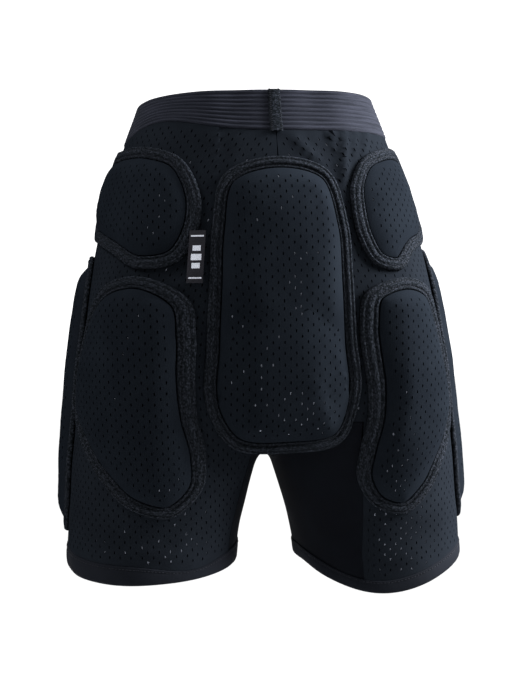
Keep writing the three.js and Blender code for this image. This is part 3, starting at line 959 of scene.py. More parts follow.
def stitch_tree() -> bpy.types.NodeTree:
    """Lays small stitches along the edges that it is given, flat on the cloth below them.

    The edges carry the cloth's outward direction as the attribute outward.

    Returns:
        The tree, with inputs Pitch, Length, Width, Slant and Thread.
    """
    tree, given = new_tree(
        "stitches",
        (
            ("Pitch", "NodeSocketFloat", 0.0029),
            ("Length", "NodeSocketFloat", 0.0023),
            ("Width", "NodeSocketFloat", 0.0007),
            ("Slant", "NodeSocketFloat", 0.0),
            ("Thread", "NodeSocketMaterial", None),
        ),
    )
    path = add_node(tree, "GeometryNodeMeshToCurve", None, {"Mesh": given["Geometry"]})
    even = add_node(tree, "GeometryNodeResampleCurve", None, {"Curve": path.outputs[0]})
    if "Mode" in even.inputs:
        even.inputs["Mode"].default_value = "Length"
    else:
        even.mode = "LENGTH"
    tree.links.new(given["Pitch"], even.inputs["Length"])
    ball = add_node(tree, "GeometryNodeMeshUVSphere", None, {"Segments": 6, "Rings": 5, "Radius": 0.5})
    sizes = {0: given["Length"], 1: given["Width"], 2: given["Width"]}
    size = add_node(tree, "ShaderNodeCombineXYZ", None, sizes)
    along = add_node(tree, "GeometryNodeInputTangent")
    kind = {"data_type": "FLOAT_VECTOR"}
    outward = add_node(tree, "GeometryNodeInputNamedAttribute", kind, {"Name": "outward"})
    laid = add_node(
        tree,
        "FunctionNodeAxesToRotation",
        {"primary_axis": "Z", "secondary_axis": "X"},
        {0: outward.outputs["Attribute"], 1: along.outputs[0]},
    )
    turn = add_node(tree, "ShaderNodeCombineXYZ", None, {2: given["Slant"]})
    both = {0: laid.outputs[0], 1: turn.outputs[0]}
    slanted = add_node(tree, "FunctionNodeRotateRotation", {"rotation_space": "LOCAL"}, both)
    copies = {
        "Points": even.outputs[0],
        "Instance": ball.outputs["Mesh"],
        "Rotation": slanted.outputs[0],
        "Scale": size.outputs[0],
    }
    placed = add_node(tree, "GeometryNodeInstanceOnPoints", None, copies)
    whole = add_node(tree, "GeometryNodeRealizeInstances", None, {"Geometry": placed.outputs[0]})
    dyed = {"Geometry": whole.outputs[0], "Material": given["Thread"]}
    done = add_node(tree, "GeometryNodeSetMaterial", None, dyed)
    add_node(tree, "NodeGroupOutput", None, {0: done.outputs[0]})
    return tree


@dataclass(frozen=True)
class Trees:
    """The trees that the pieces share."""

    perforations: bpy.types.NodeTree
    stitches: bpy.types.NodeTree


def ride(piece: bpy.types.Object, node: str | None = None) -> None:
    """Fix a piece to the garment, and let it stand for a CAD node.

    Args:
        piece: The piece.
        node: The CAD node, if it stands for one.
    """
    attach(piece, "root")
    if node:
        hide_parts(node)


def sew(
    name: str,
    rows: Sequence[tuple[Array, Array, bool]],
    trees: Trees,
    pitch: float = 2.9,
    length: float = 2.3,
    width: float = 0.7,
    slant: float = 0.0,
) -> bpy.types.Object:
    """Sew rows of stitches as one piece.

    Args:
        name: The piece's name.
        rows: For each row its points in millimetres, their outward directions, and whether it is closed.
        trees: The shared trees.
        pitch: From stitch to stitch.
        length: Length of a stitch.
        width: Thickness of the thread.
        slant: Turn of each stitch on the cloth, in radians.

    Returns:
        The piece.
    """
    points, outward, edges = [], [], []
    for path, away, closed in rows:
        first, count = sum(len(p) for p in points), len(path)
        points.append(path)
        outward.append(away)
        edges += [(first + i, first + (i + 1) % count) for i in range(count if closed else count - 1)]
    mesh = bpy.data.meshes.new(name)
    mesh.from_pydata((np.concatenate(points) * MM).tolist(), edges, [])
    attribute = mesh.attributes.new("outward", "FLOAT_VECTOR", "POINT")
    attribute.data.foreach_set("vector", np.concatenate(outward).astype(np.float32).ravel())
    piece = bpy.data.objects.new(name, mesh)
    bpy.context.scene.collection.objects.link(piece)
    values = {
        "Pitch": pitch * MM,
        "Length": length * MM,
        "Width": width * MM,
        "Slant": slant,
        "Thread": THREAD.material,
    }
    apply_tree(piece, trees.stitches, values)
    piece.data.shade_smooth()
    ride(piece)
    return piece


# Flat cuts of cloth


def depth_inside(outline: Array, points: Array) -> Array:
    """Distance of flat points from an outline, positive inside it.

    Args:
        outline: Corners in order.
        points: Flat points.

    Returns:
        One signed distance for each point.
    """
    a, b = outline, np.roll(outline, -1, axis=0)
    along = b - a
    rel = points[:, None, :] - a[None]
    t = np.clip((rel * along).sum(-1) / np.maximum((along * along).sum(-1), 1e-12), 0, 1)
    away = np.linalg.norm(rel - t[..., None] * along, axis=-1).min(axis=1)
    level = (a[None, :, 1] > points[:, None, 1]) != (b[None, :, 1] > points[:, None, 1])
    rise = np.where(np.abs(along[:, 1]) < 1e-12, 1e-12, along[:, 1])
    cross = a[:, 0] + (points[:, None, 1] - a[:, 1]) * along[:, 0] / rise
    inside = (level & (points[:, None, 0] < cross)).sum(axis=1) % 2 == 1
    return np.where(inside, away, -away)


@dataclass(frozen=True)
class Cut:
    """A flat cut of cloth: the outline's points come first, then the lattice's, then the perforations'."""

    points: Array
    rim: int
    plain: int
    outer: list[Face]
    inner: list[Face]
    pits: list[bool]


def cut_cloth(outline: Array, cell: tuple[float, float], hole: tuple[float, float] | None) -> Cut:
    """Fill an outline with a lattice of cells, with a perforation in every second one.

    Args:
        outline: Corners of the cut in order, counterclockwise, in millimetres.
        cell: Width and height of a cell.
        hole: Half width and half height of a perforation, or None.

    Returns:
        The cut.
    """
    size = np.array(cell)
    first = np.floor(outline.min(0) / size).astype(int)
    last = np.ceil(outline.max(0) / size).astype(int)
    count = last - first + 1
    corner = np.stack(np.meshgrid(np.arange(count[0]), np.arange(count[1]), indexing="ij"), -1)
    place = (corner + first) * size
    deep = depth_inside(outline, place.reshape(-1, 2)).reshape(count) > 0.38 * size.min()
    kept = deep[:-1, :-1] & deep[1:, :-1] & deep[:-1, 1:] & deep[1:, 1:]
    number = -np.ones(count, int)
    cells = np.argwhere(kept)
    n = len(outline)
    points = [outline]
    for i, j in cells:
        for c in ((i, j), (i + 1, j), (i + 1, j + 1), (i, j + 1)):
            if number[c] < 0:
                number[c] = n
                n += 1
    order = np.argwhere(number >= 0)
    order = order[np.argsort(number[order[:, 0], order[:, 1]])]
    points.append(place[order[:, 0], order[:, 1]])
    plain = n
    outer: list[Face] = []
    inner: list[Face] = []
    pits: list[bool] = []
    border: dict[tuple[int, int], bool] = {}
    for i, j in cells:
        quad = (number[i, j], number[i + 1, j], number[i + 1, j + 1], number[i, j + 1])
        quad = tuple(int(q) for q in quad)
        inner.append(quad)
        for k in range(4):
            edge = (quad[k], quad[(k + 1) % 4])
            if edge[::-1] in border:
                del border[edge[::-1]]
            else:
                border[edge] = True
        if hole is None or (i + j + first.sum()) % 2:
            outer.append(quad)
            pits.append(False)
            continue
        middle = place[i, j] + size / 2
        turn = np.radians(22.5 + 45 * np.arange(8))
        points.append(middle + np.stack([hole[0] * np.cos(turn), hole[1] * np.sin(turn)], -1))
        o = list(range(n, n + 8))
        n += 8
        a, b, c, d = quad
        outer += [(b, c, o[0], o[7]), (c, d, o[2], o[1]), (d, a, o[4], o[3]), (a, b, o[6], o[5])]
        outer += [(c, o[1], o[0]), (d, o[3], o[2]), (a, o[5], o[4]), (b, o[7], o[6]), tuple(o)]
        pits += [False] * 8 + [True]
    every = np.concatenate(points)
    rim = len(outline)
    staircase = sorted({v for edge in border for v in edge})
    used = list(range(rim)) + staircase
    back = {v: k for k, v in enumerate(used)}
    edges = [(i, (i + 1) % rim) for i in range(rim)] + [(back[a], back[b]) for a, b in border]
    found = geometry.delaunay_2d_cdt([Vector(every[v]) for v in used], edges, [], 0, 1e-5, True)
    origin = [o[0] if len(o) else -1 for o in found[3]]
    triangles = [tuple(used[origin[v]] for v in f) for f in found[2] if all(origin[v] >= 0 for v in f)]
    centres = np.array([every[list(f)].mean(axis=0) for f in triangles])
    within = depth_inside(outline, centres) > 1e-4
    spot = np.floor(centres / size).astype(int) - first
    spot = np.clip(spot, 0, np.array(kept.shape) - 1)
    for f, good, (i, j) in zip(triangles, within, spot):
        if not good or kept[i, j]:
            continue
        a, b, c = every[list(f)]
        if (b[0] - a[0]) * (c[1] - a[1]) < (b[1] - a[1]) * (c[0] - a[0]):
            f = f[::-1]
        outer.append(f)
        inner.append(f)
        pits.append(False)
    return Cut(every, rim, plain, outer, inner, pits)


def spaced(points: Array, step: float, closed: bool = False) -> Array:
    """Points at even steps along a line of points.

    Args:
        points: The line, flat or in space.
        step: About how far apart.
        closed: Whether the last point joins the first.

    Returns:
        The new points. A closed line doesn't repeat its first.
    """
    line = np.concatenate([points, points[:1]]) if closed else points
    run = np.concatenate([[0], np.cumsum(np.linalg.norm(np.diff(line, axis=0), axis=1))])
    count = max(int(round(run[-1] / step)), 2)
    at = np.linspace(0, run[-1], count + 1)
    out = np.stack([np.interp(at, run, line[:, k]) for k in range(line.shape[1])], -1)
    return out[:-1] if closed else out


def area_of(outline: Array) -> float:
    """Signed area of a flat outline."""
    a, b = outline, np.roll(outline, -1, axis=0)
    return float((a[:, 0] * b[:, 1] - b[:, 0] * a[:, 1]).sum() / 2)


# Body cloth

# Half the mesh's real lattice, with a perforation in every second cell, and half a perforation's size.
CELL = (4.8, 4.5)
HOLE_SIZE = (0.6, 1.45)
# Where light shows in the perforations: x, z, how far it reaches in x and z, and the share of holes.
# A few stray ones show elsewhere behind, and none on the sides and in front.
STRAY_FLECKS, MOST_FLECKS, BACK_Y = 0.03, 0.85, -30.0
FLECKED = (
    (110.0, -390.0, 44.0, 42.0, 0.7),
    (-86.0, -394.0, 40.0, 26.0, 0.55),
    (9.0, -270.0, 34.0, 24.0, 0.45),
    (11.0, -150.0, 4.5, 40.0, 0.55),
    (50.0, -175.0, 4.5, 36.0, 0.35),
    (52.0, -57.0, 6.0, 15.0, 0.6),
    (88.0, -311.0, 15.0, 32.0, 0.3),
    (-120.0, -95.0, 36.0, 40.0, 0.22),
)


def flecked(p: Array) -> Array:
    """Share of the perforations that show a pale fleck.

    Args:
        p: Points of the cloth.

    Returns:
        One share for each.
    """
    total = np.full(p.shape[:-1], STRAY_FLECKS)
    for x, z, wide, high, share in FLECKED:
        total += share * np.exp(-(((p[..., 0] - x) / wide) ** 2) - ((p[..., 2] - z) / high) ** 2)
    return np.where(p[..., 1] < BACK_Y, np.minimum(total, MOST_FLECKS), 0.0)


# The band rides up by so much, in millimetres, at so many degrees left of the back's middle, and fades
# over so many degrees.
BAND_RISE, RISE_TURN, RISE_SPREAD = 11.5, -52.0, 25.0


def band_foot(p: Array) -> Array:
    """Depth of the band's lower edge below its top one, at points round the waist."""
    turn = np.degrees(np.arctan2(p[..., 0], -p[..., 1]))
    return BAND_HEIGHT - BAND_RISE * np.exp(-(((turn - RISE_TURN) / RISE_SPREAD) ** 2))


@dataclass(frozen=True)
class Fold:
    """A fold on the back: a line from one point to another, its half width and its height."""

    start: tuple[float, float]
    end: tuple[float, float]
    width: float
    height: float

    def lift(self, p: Array) -> Array:
        """How far the fold lifts the cloth of the back.

        Args:
            p: Points of the cloth.

        Returns:
            One height for each.
        """
        a, b = np.array(self.start), np.array(self.end)
        flat = p[..., (0, 2)]
        t = ((flat - a) @ (b - a)) / ((b - a) @ (b - a))
        away = np.linalg.norm(flat - a - np.clip(t, 0, 1)[..., None] * (b - a), axis=-1)
        fade = smoothstep(-0.1, 0.12, t) * (1 - smoothstep(0.55, 1.1, t))
        return self.height * fade * np.exp(-((away / self.width) ** 2)) * (p[..., 1] < 0)


FOLDS = (
    Fold((61, -34), (56, -88), 3.4, 3.4),
    Fold((13, -40), (43, -70), 4.2, 1.7),
    Fold((71, -34), (68, -62), 3.4, 2.2),
    Fold((84, -34), (76, -58), 3.8, 2.6),
    Fold((49, -34), (47, -56), 3.2, 1.5),
    Fold((-52, -150), (-108, -172), 5.0, 1.2),
    Fold((-30, -40), (-44, -72), 7.0, 0.9),
    Fold((-150, -384), (-60, -400), 6.0, 1.3),
    Fold((62, -330), (84, -372), 7.0, 1.6),
)


def drape(p: Array) -> Array:
    """How far the body cloth lifts from the form: folds, puckers under the elastic and soft waves.

    Args:
        p: Points of the cloth.

    Returns:
        One height for each, in millimetres.
    """
    total = sum(f.lift(p) for f in FOLDS)
    gathered = np.exp(-((p[..., 2] + BAND_HEIGHT) / 9.0) ** 2)
    puckers = 0.35 * gathered * ripple(p, 15.0, 2.0)
    free = smoothstep(-330.0, -385.0, p[..., 2])
    return total + puckers + 0.45 * (1 + ripple(p, 64.0, 5.0)) * (0.35 + free)


@dataclass
class MeshPanel:
    """One side of the body: perforated stretch mesh from the back seam round to the front one."""

    leg: Leg
    trees: Trees
    thickness: float = PANEL_THICKNESS
    pit_depth: float = 0.95

    @cached_property
    def girth(self) -> Girth:
        """Lengths of cloth round this leg."""
        return Girth(self.leg)

    def outline(self) -> Array:
        """The panel's flat outline, counterclockwise: length round, and height."""
        girth, leg, inset = self.girth, self.leg, 0.2
        top = -BAND_HEIGHT - 0.15
        upper = np.linspace(top, INNER_TOP + inset, 80)
        start, _, _, end = leg.ends(upper)
        back = np.stack([girth.arc(start, upper) + inset, upper], -1)
        front = np.stack([girth.arc(end, upper) - inset, upper], -1)
        _, first0, last0, _ = leg.ends(np.array([BODY.crotch]))
        turns = np.linspace(first0[0], last0[0], 140)
        hem_z = leg.hem_top(turns) + 0.15
        hem = np.stack([girth.arc(turns, hem_z), hem_z], -1)
        lower = np.linspace(INNER_TOP + inset, hem_z[0], 60)
        _, first, _, _ = leg.ends(lower)
        back_edge = np.stack([girth.arc(first, lower) + inset, lower], -1)
        lower = np.linspace(hem_z[-1], INNER_TOP + inset, 60)
        _, _, last, _ = leg.ends(lower)
        front_edge = np.stack([girth.arc(last, lower) - inset, lower], -1)
        hem[0], hem[-1] = back_edge[-1], front_edge[0]
        run = np.linspace(front[0, 0], back[0, 0], 160)
        level = np.full(len(run), top)
        for _ in range(3):
            p = BODY.reach(BODY.section(level)[0], level, girth.turn(run, level))
            level = -band_foot(p * (leg.side.value, 1, 1)) - 0.15
        band = np.stack([run, level], -1)
        parts = [
            hem,
            front_edge,
            np.stack([front_edge[-1], front[-1]]),
            front[::-1],
            band,
            back,
            np.stack([back[-1], back_edge[0]]),
            back_edge,
        ]
        steps = [5.0, 5.0, 5.0, 5.0, 2.5, 5.0, 5.0, 5.0]
        return np.concatenate([spaced(part, step)[:-1] for part, step in zip(parts, steps)])

    def on(self, flat: Array, height: Array | float) -> Array:
        """Points in space for flat points, lifted by the drape and a height.

        Args:
            flat: Length round, and height.
            height: How far off the draped cloth.

        Returns:
            One point for each.
        """
        z = flat[:, 1]
        turn = self.girth.turn(flat[:, 0], z)
        p = BODY.reach(BODY.section(z)[0], z, turn)
        real = p * (self.leg.side.value, 1, 1)
        q = BODY.lifted(p, height + drape(real))
        return q * (self.leg.side.value, 1, 1)

    def build(self) -> bpy.types.Object:
        """Cut, lay and perforate the panel."""
        outline = self.outline()
        cut = cut_cloth(outline, CELL, HOLE_SIZE)
        outer = self.on(cut.points, 0.0)
        inner = self.on(cut.points[: cut.plain], -self.thickness)
        shift = len(outer)
        faces = list(cut.outer) + [tuple(shift + v for v in reversed(f)) for f in cut.inner]
        for i in range(cut.rim):
            j = (i + 1) % cut.rim
            faces.append((j, i, shift + i, shift + j))
        pits = np.zeros(len(faces), bool)
        pits[: len(cut.pits)] = cut.pits
        lit = np.zeros(len(faces), np.float32)
        lit[: len(cut.outer)] = flecked(np.array([outer[f[0]] for f in cut.outer]))
        name = f"stretch_mesh_{self.leg.side.word}"
        lay = np.concatenate([cut.points, cut.points[: cut.plain]]) + LAY_MIDDLE
        marks = {"pit": ("BOOLEAN", "FACE", pits), "lit": ("FLOAT", "FACE", lit)}
        piece = make_object(name, np.concatenate([outer, inner]), faces, MESH_KNIT, lay, marks)
        values = {
            "Depth": self.pit_depth * MM,
            "Narrowing": 0.85,
            "Seed": 5 + self.leg.side.value,
            "Hole": HOLE.material,
            "Fleck": FLECK.material,
        }
        apply_tree(piece, self.trees.perforations, values)
        crisp(piece)
        ride(piece, f"mesh_panel_{self.leg.side.word}")
        return piece


# The jersey drapes less than the mesh, by this share.
JERSEY_DRAPE = 0.6


@dataclass
class InnerPanel:
    """Plain jersey between the legs: a gusset above the crotch that runs down the inside of a leg.

    Its lap goes under the mesh: past the edge, and how deep, in millimetres.
    """

    leg: Leg
    columns: int = 12
    rows_above: int = len(GUSSET_LEVELS) - 1
    rows_below: int = 22
    inset: float = 0.4
    lap: tuple[tuple[float, float], ...] = ((-1.0, 0.0), (-0.25, -1.8), (3.5, -1.8))

    def build(self) -> bpy.types.Object:
        """Lay the panel and close it."""
        leg, half = self.leg, self.columns + len(self.lap) - 1
        levels = np.concatenate([GUSSET_LEVELS, np.full(self.rows_below, BODY.crotch)])
        share = np.concatenate([np.zeros(self.rows_above + 1), np.linspace(0, 1, self.rows_below + 1)[1:]])
        width = 2 * half + 2
        grid = np.zeros((len(levels), width, 3))
        reach = np.array([far for far, _ in self.lap]) / 80.0
        sunk = np.zeros(width)
        sunk[half + 1 - len(self.lap) : half + 1] = [low for _, low in self.lap]
        sunk[half + 1 : half + 1 + len(self.lap)] = [low for _, low in reversed(self.lap)]
        for r, (level, t) in enumerate(zip(levels, share)):
            start, first, last, end = (v[0] for v in leg.ends(np.array([level])))
            near = np.linspace(start, first + reach[0], self.columns + 1)
            far = np.linspace(last - reach[0], end, self.columns + 1)
            turns = np.concatenate([near, first + reach[1:], last - reach[:0:-1], far])
            z = level + (leg.hem_top(turns) + 0.15 - BODY.crotch) * t
            grid[r] = BODY.reach(BODY.section(z)[0], z, turns)
            if r < self.rows_above:
                grid[r, 0] = (0, -BODY.depth(0.0, level, Way.BACK), level)
                grid[r, -1] = (0, BODY.depth(0.0, level, Way.FRONT), level)
        push = np.zeros(grid.shape[:2])
        push[: self.rows_above, 0] = push[: self.rows_above, -1] = self.inset
        grid[..., 0] += push
        number = np.arange(grid.shape[0] * width).reshape(grid.shape[:2])
        number[self.rows_above :, -1] = number[self.rows_above :, 0]
        faces = []
        for r in range(len(levels) - 1):
            for c in [*range(half), *range(half + 1, width - 1)]:
                corners = ((r, c), (r + 1, c), (r + 1, c + 1), (r, c + 1))
                faces.append(tuple(int(number[corner]) for corner in corners))
        flat = grid.reshape(-1, 3)
        used = sorted({v for f in faces for v in f})
        place = {v: k for k, v in enumerate(used)}
        faces = [tuple(place[v] for v in f) for f in faces]
        base = flat[used]
        real = base * (leg.side.value, 1, 1)
        low = np.tile(sunk, len(levels))[used]
        height = drape(real) * JERSEY_DRAPE + low
        outer = BODY.lifted(base, height)
        inner = BODY.lifted(base, height - PANEL_THICKNESS)
        columns = np.tile(np.arange(width) * 6.0, len(levels))[used]
        lay = np.stack([columns + LAY_MIDDLE, base[:, 2] + LAY_MIDDLE], -1)
        way, name = (leg.side.value, 1, 1), f"inner_jersey_{leg.side.word}"
        piece = close_cloth(name, outer * way, inner * way, faces, JERSEY, lay)
        crisp(piece)
        ride(piece, f"inner_leg_panel_{leg.side.word}")
        return piece


def close_cloth(
    name: str, outer: Array, inner: Array, faces: list[Face], finish: Finish, lay: Array
) -> bpy.types.Object:
    """Close an open sheet with its other face and a wall along its border.

    Args:
        name: The piece's name.
        outer: Points of the outer face.
        inner: Points of the inner face, in the same order.
        faces: Faces of the outer one.
        finish: Its finish.
        lay: Flat place of each point.

    Returns:
        The piece.
    """
    shift = len(outer)
    edges = {(f[k], f[(k + 1) % len(f)]) for f in faces for k in range(len(f))}
    border = sorted(e for e in edges if e[::-1] not in edges)
    shell = list(faces) + [tuple(shift + v for v in reversed(f)) for f in faces]
    shell += [(b, a, shift + a, shift + b) for a, b in border]
    return make_object(name, np.concatenate([outer, inner]), shell, finish, np.concatenate([lay, lay]))


def grid_faces(rows: int, across: int) -> list[Face]:
    """Faces of a grid of points, row by row."""
    first = (r * across + c for r in range(rows - 1) for c in range(across - 1))
    return [(k, k + across, k + across + 1, k + 1) for k in first]


@dataclass
class SeamTape:
    """Narrow jersey tape on the inside of the seam between the two mesh panels, behind or before."""

    way: Way
    columns: tuple[float, ...] = (-5.4, -2.0, 0.0, 2.0, 5.4)
    under: float = 0.2
    thickness: float = 1.0

    def build(self) -> bpy.types.Object:
        """Lay the tape under the seam."""
        levels = np.concatenate([np.linspace(-BAND_HEIGHT + 2.5, INNER_TOP + 0.6, 58), GUSSET_LEVELS])
        x, z = np.meshgrid(np.array(self.columns), levels)
        p = np.stack([x, self.way.value * BODY.depth(x, z, self.way), z], -1)
        loose = smoothstep(-BAND_HEIGHT + 0.5, -BAND_HEIGHT - 1.5, z)
        loose -= (1 - JERSEY_DRAPE) * smoothstep(INNER_TOP + 2, INNER_TOP, z)
        deep = drape(p) * loose - (PANEL_THICKNESS + self.under)
        outer = BODY.lifted(p, deep).reshape(-1, 3)
        inner = BODY.lifted(p, deep - self.thickness).reshape(-1, 3)
        faces = grid_faces(len(levels), len(self.columns))
        if self.way is not Way.BACK:
            faces = [face[::-1] for face in faces]
        lay = np.stack([x.ravel() + LAY_MIDDLE, z.ravel() + LAY_MIDDLE], -1)
        piece = close_cloth(f"seam_tape_{self.way.name.lower()}", outer, inner, faces, JERSEY, lay)
        crisp(piece)
        ride(piece, "inner_leg_panel_left")
        return piece


def ring_faces(loops: int, count: int, closed: bool = True) -> list[Face]:
    """Faces of a tube of loops.

    Args:
        loops: How many loops.
        count: Points in each.
        closed: Whether the last loop joins the first.

    Returns:
        Quads, in order of the loops.
    """
    faces: list[Face] = []
    for j in range(loops if closed else loops - 1):
        k = ((j + 1) % loops) * count
        for i in range(count):
            n = (i + 1) % count
            faces.append((j * count + i, j * count + n, k + n, k + i))
    return faces


def level_row(run: Array, up: float) -> Array:
    """Places on the cloth of a row of points at one height."""
    return np.stack([run, np.full(len(run), up)], -1)


@dataclass
class Hem:
    """Turned hem of a leg: a doubled edge with one row of stitches near its top.

    The section says how far up and how far off the body it is; its first rows are a lap under the mesh.
    """

    leg: Leg
    trees: Trees
    count: int = 220
    section: tuple[tuple[float, float], ...] = (
        (16.6, -2.3),
        (16.6, -1.8),
        (13.85, -1.75),
        (13.85, 0.15),
        (13.2, 0.55),
        (12.3, 0.7),
        (11.4, 0.45),
        (10.3, 0.75),
        (8.0, 1.0),
        (4.5, 1.1),
        (1.8, 1.0),
        (0.5, 0.65),
        (0.0, 0.0),
        (0.4, -0.9),
        (1.6, -1.6),
        (7.0, -1.9),
        (13.0, -2.3),
    )

    def loop(self, up: float, height: float) -> Array:
        """Points round the leg at a height above the hem's bottom edge."""
        turns = np.linspace(-math.pi / 2, 1.5 * math.pi, self.count, endpoint=False)
        low, high = self.leg.hem_bottom(turns), self.leg.hem_top(turns)
        z = low + (high - low) * up / HEM_HEIGHT
        p = BODY.reach(BODY.section(z)[0], z, turns)
        real = p * (self.leg.side.value, 1, 1)
        wave = drape(real) + 0.18 * ripple(real, 9.0, 1.0) * (height > 0.3)
        return BODY.lifted(p, height + wave) * (self.leg.side.value, 1, 1)

    def build(self) -> bpy.types.Object:
        """Roll the hem and sew it."""
        side = self.leg.side
        loops = [self.loop(up, height) for up, height in self.section]
        run = np.arange(self.count) * 2.1 + 100.0
        lay = np.concatenate([level_row(run, LAY_MIDDLE + up) for up, _ in self.section])
        name = f"turned_hem_{side.word}"
        faces = ring_faces(len(loops), self.count)
        piece = make_object(name, np.concatenate(loops), faces, HEM_JERSEY, lay)
        ride(piece, f"leg_hem_{side.word}")
        row = self.loop(11.6, 0.72)
        away = BODY.normals(row * (side.value, 1, 1)) * (side.value, 1, 1)
        rows = [(row, away, True)]
        stitches = sew(f"hem_stitches_{side.word}", rows, self.trees, 3.1, 2.6, 0.6)
        return piece


# Pads


def smooth_edge(shares: Sequence[tuple[float, float]], width: float, height: float, step: float) -> Array:
    """A closed centripetal curve through a pad's corners, counterclockwise, at even steps.

    Args:
        shares: Corners as shares of half the width and half the height.
        width: The pad's width in millimetres.
        height: Its height.
        step: About how far apart the points are.

    Returns:
        The points about the pad's middle.
    """
    p = np.array(shares) * (width / 2, height / 2)
    if area_of(p) < 0:
        p = p[::-1]
    before, after, beyond = np.roll(p, 1, 0), np.roll(p, -1, 0), np.roll(p, -2, 0)

    def gap(a: Array, b: Array) -> Array:
        """Root of the distance between corners."""
        return np.sqrt(np.linalg.norm(b - a, axis=1))[:, None]

    d0, d1, d2 = gap(before, p), gap(p, after), gap(after, beyond)
    t1 = ((p - before) / d0 - (after - before) / (d0 + d1) + (after - p) / d1) * d1
    t2 = ((after - p) / d1 - (beyond - p) / (d1 + d2) + (beyond - after) / d2) * d1
    t = np.linspace(0, 1, 24, endpoint=False)[:, None, None]
    curve = p + t1 * t + (-3 * p + 3 * after - 2 * t1 - t2) * t**2 + (2 * p - 2 * after + t1 + t2) * t**3
    return spaced(curve.transpose(1, 0, 2).reshape(-1, 2), step, closed=True)


def drawn_in(edge: Array, width: float) -> Array:
    """A flat edge drawn in towards the middle by a width."""
    along = np.roll(edge, -1, 0) - np.roll(edge, 1, 0)
    along /= np.linalg.norm(along, axis=1, keepdims=True)
    return edge + np.stack([-along[:, 1], along[:, 0]], -1) * width


@dataclass(frozen=True)
class Place:
    """Where a pad is wrapped round the body, by rays that turn about an axis of its own."""

    side: int
    middle: float
    stand: float
    axis: float = 0.0
    wrap: float = 1.0
    turn: float = 0.0
    lean: float = 0.0
    flat: bool = False


@dataclass(frozen=True)
class Swelling:
    """Foam that fills its cover: cloth under pressure, held down along its base."""

    voxel: float = 5.0
    pressure: float = 4.0
    frames: int = 20
    cap: float = 4.0
    smaller: float = 1.4

    def run(self, source: bpy.types.Object, clear: float) -> bvhtree.BVHTree:
        """Swell a copy of a CAD pad.

        Args:
            source: The CAD node's object, which isn't changed.
            clear: Corners nearer to the body than this, in millimetres, are held.

        Returns:
            The swollen surface, in metres.
        """
        scene = bpy.context.scene
        mesh = source.data.copy()
        made = bpy.data.objects.new("swelling", mesh)
        scene.collection.objects.link(made)
        work = bmesh.new()
        work.from_mesh(mesh)
        bmesh.ops.remove_doubles(work, verts=work.verts, dist=1e-6)
        work.to_mesh(mesh)
        work.free()
        remesh = made.modifiers.new("even", "REMESH")
        remesh.mode = "VOXEL"
        remesh.voxel_size = self.voxel * MM
        even = bpy.data.meshes.new_from_object(made.evaluated_get(bpy.context.evaluated_depsgraph_get()))
        made.modifiers.clear()
        made.data = even
        count = len(even.vertices)
        start = np.zeros(count * 3)
        away = np.zeros(count * 3)
        even.vertices.foreach_get("co", start)
        even.vertices.foreach_get("normal", away)
        start = start.reshape(-1, 3) - away.reshape(-1, 3) * self.smaller * MM
        even.vertices.foreach_set("co", start.ravel())
        p = start / MM
        height = BODY.outside(np.abs(p[:, 0]), p[:, 1], p[:, 2])
        held = made.vertex_groups.new(name="held")
        held.add([int(i) for i in np.nonzero(height < clear)[0]], 1.0, "REPLACE")
        cloth = made.modifiers.new("cloth", "CLOTH")
        cloth.settings.quality = 5
        cloth.settings.mass = 0.2
        cloth.settings.use_pressure = True
        cloth.settings.uniform_pressure_force = self.pressure
        cloth.settings.effector_weights.gravity = 0
        cloth.settings.vertex_group_mass = "held"
        cloth.point_cache.frame_start = 1
        cloth.point_cache.frame_end = self.frames
        for now in range(1, self.frames + 1):
            scene.frame_set(now)
        swollen = made.evaluated_get(bpy.context.evaluated_depsgraph_get()).to_mesh()
        end = np.zeros(count * 3)
        swollen.vertices.foreach_get("co", end)
        faces = [tuple(f.vertices) for f in swollen.polygons]
        move = end.reshape(-1, 3) - start
        far = np.linalg.norm(move, axis=1, keepdims=True)
        end = start + move * np.minimum(1.0, self.cap * MM / np.maximum(far, 1e-9))
        bpy.data.objects.remove(made)
        scene.frame_set(1)
        return bvhtree.BVHTree.FromPolygons([tuple(v) for v in end], faces)


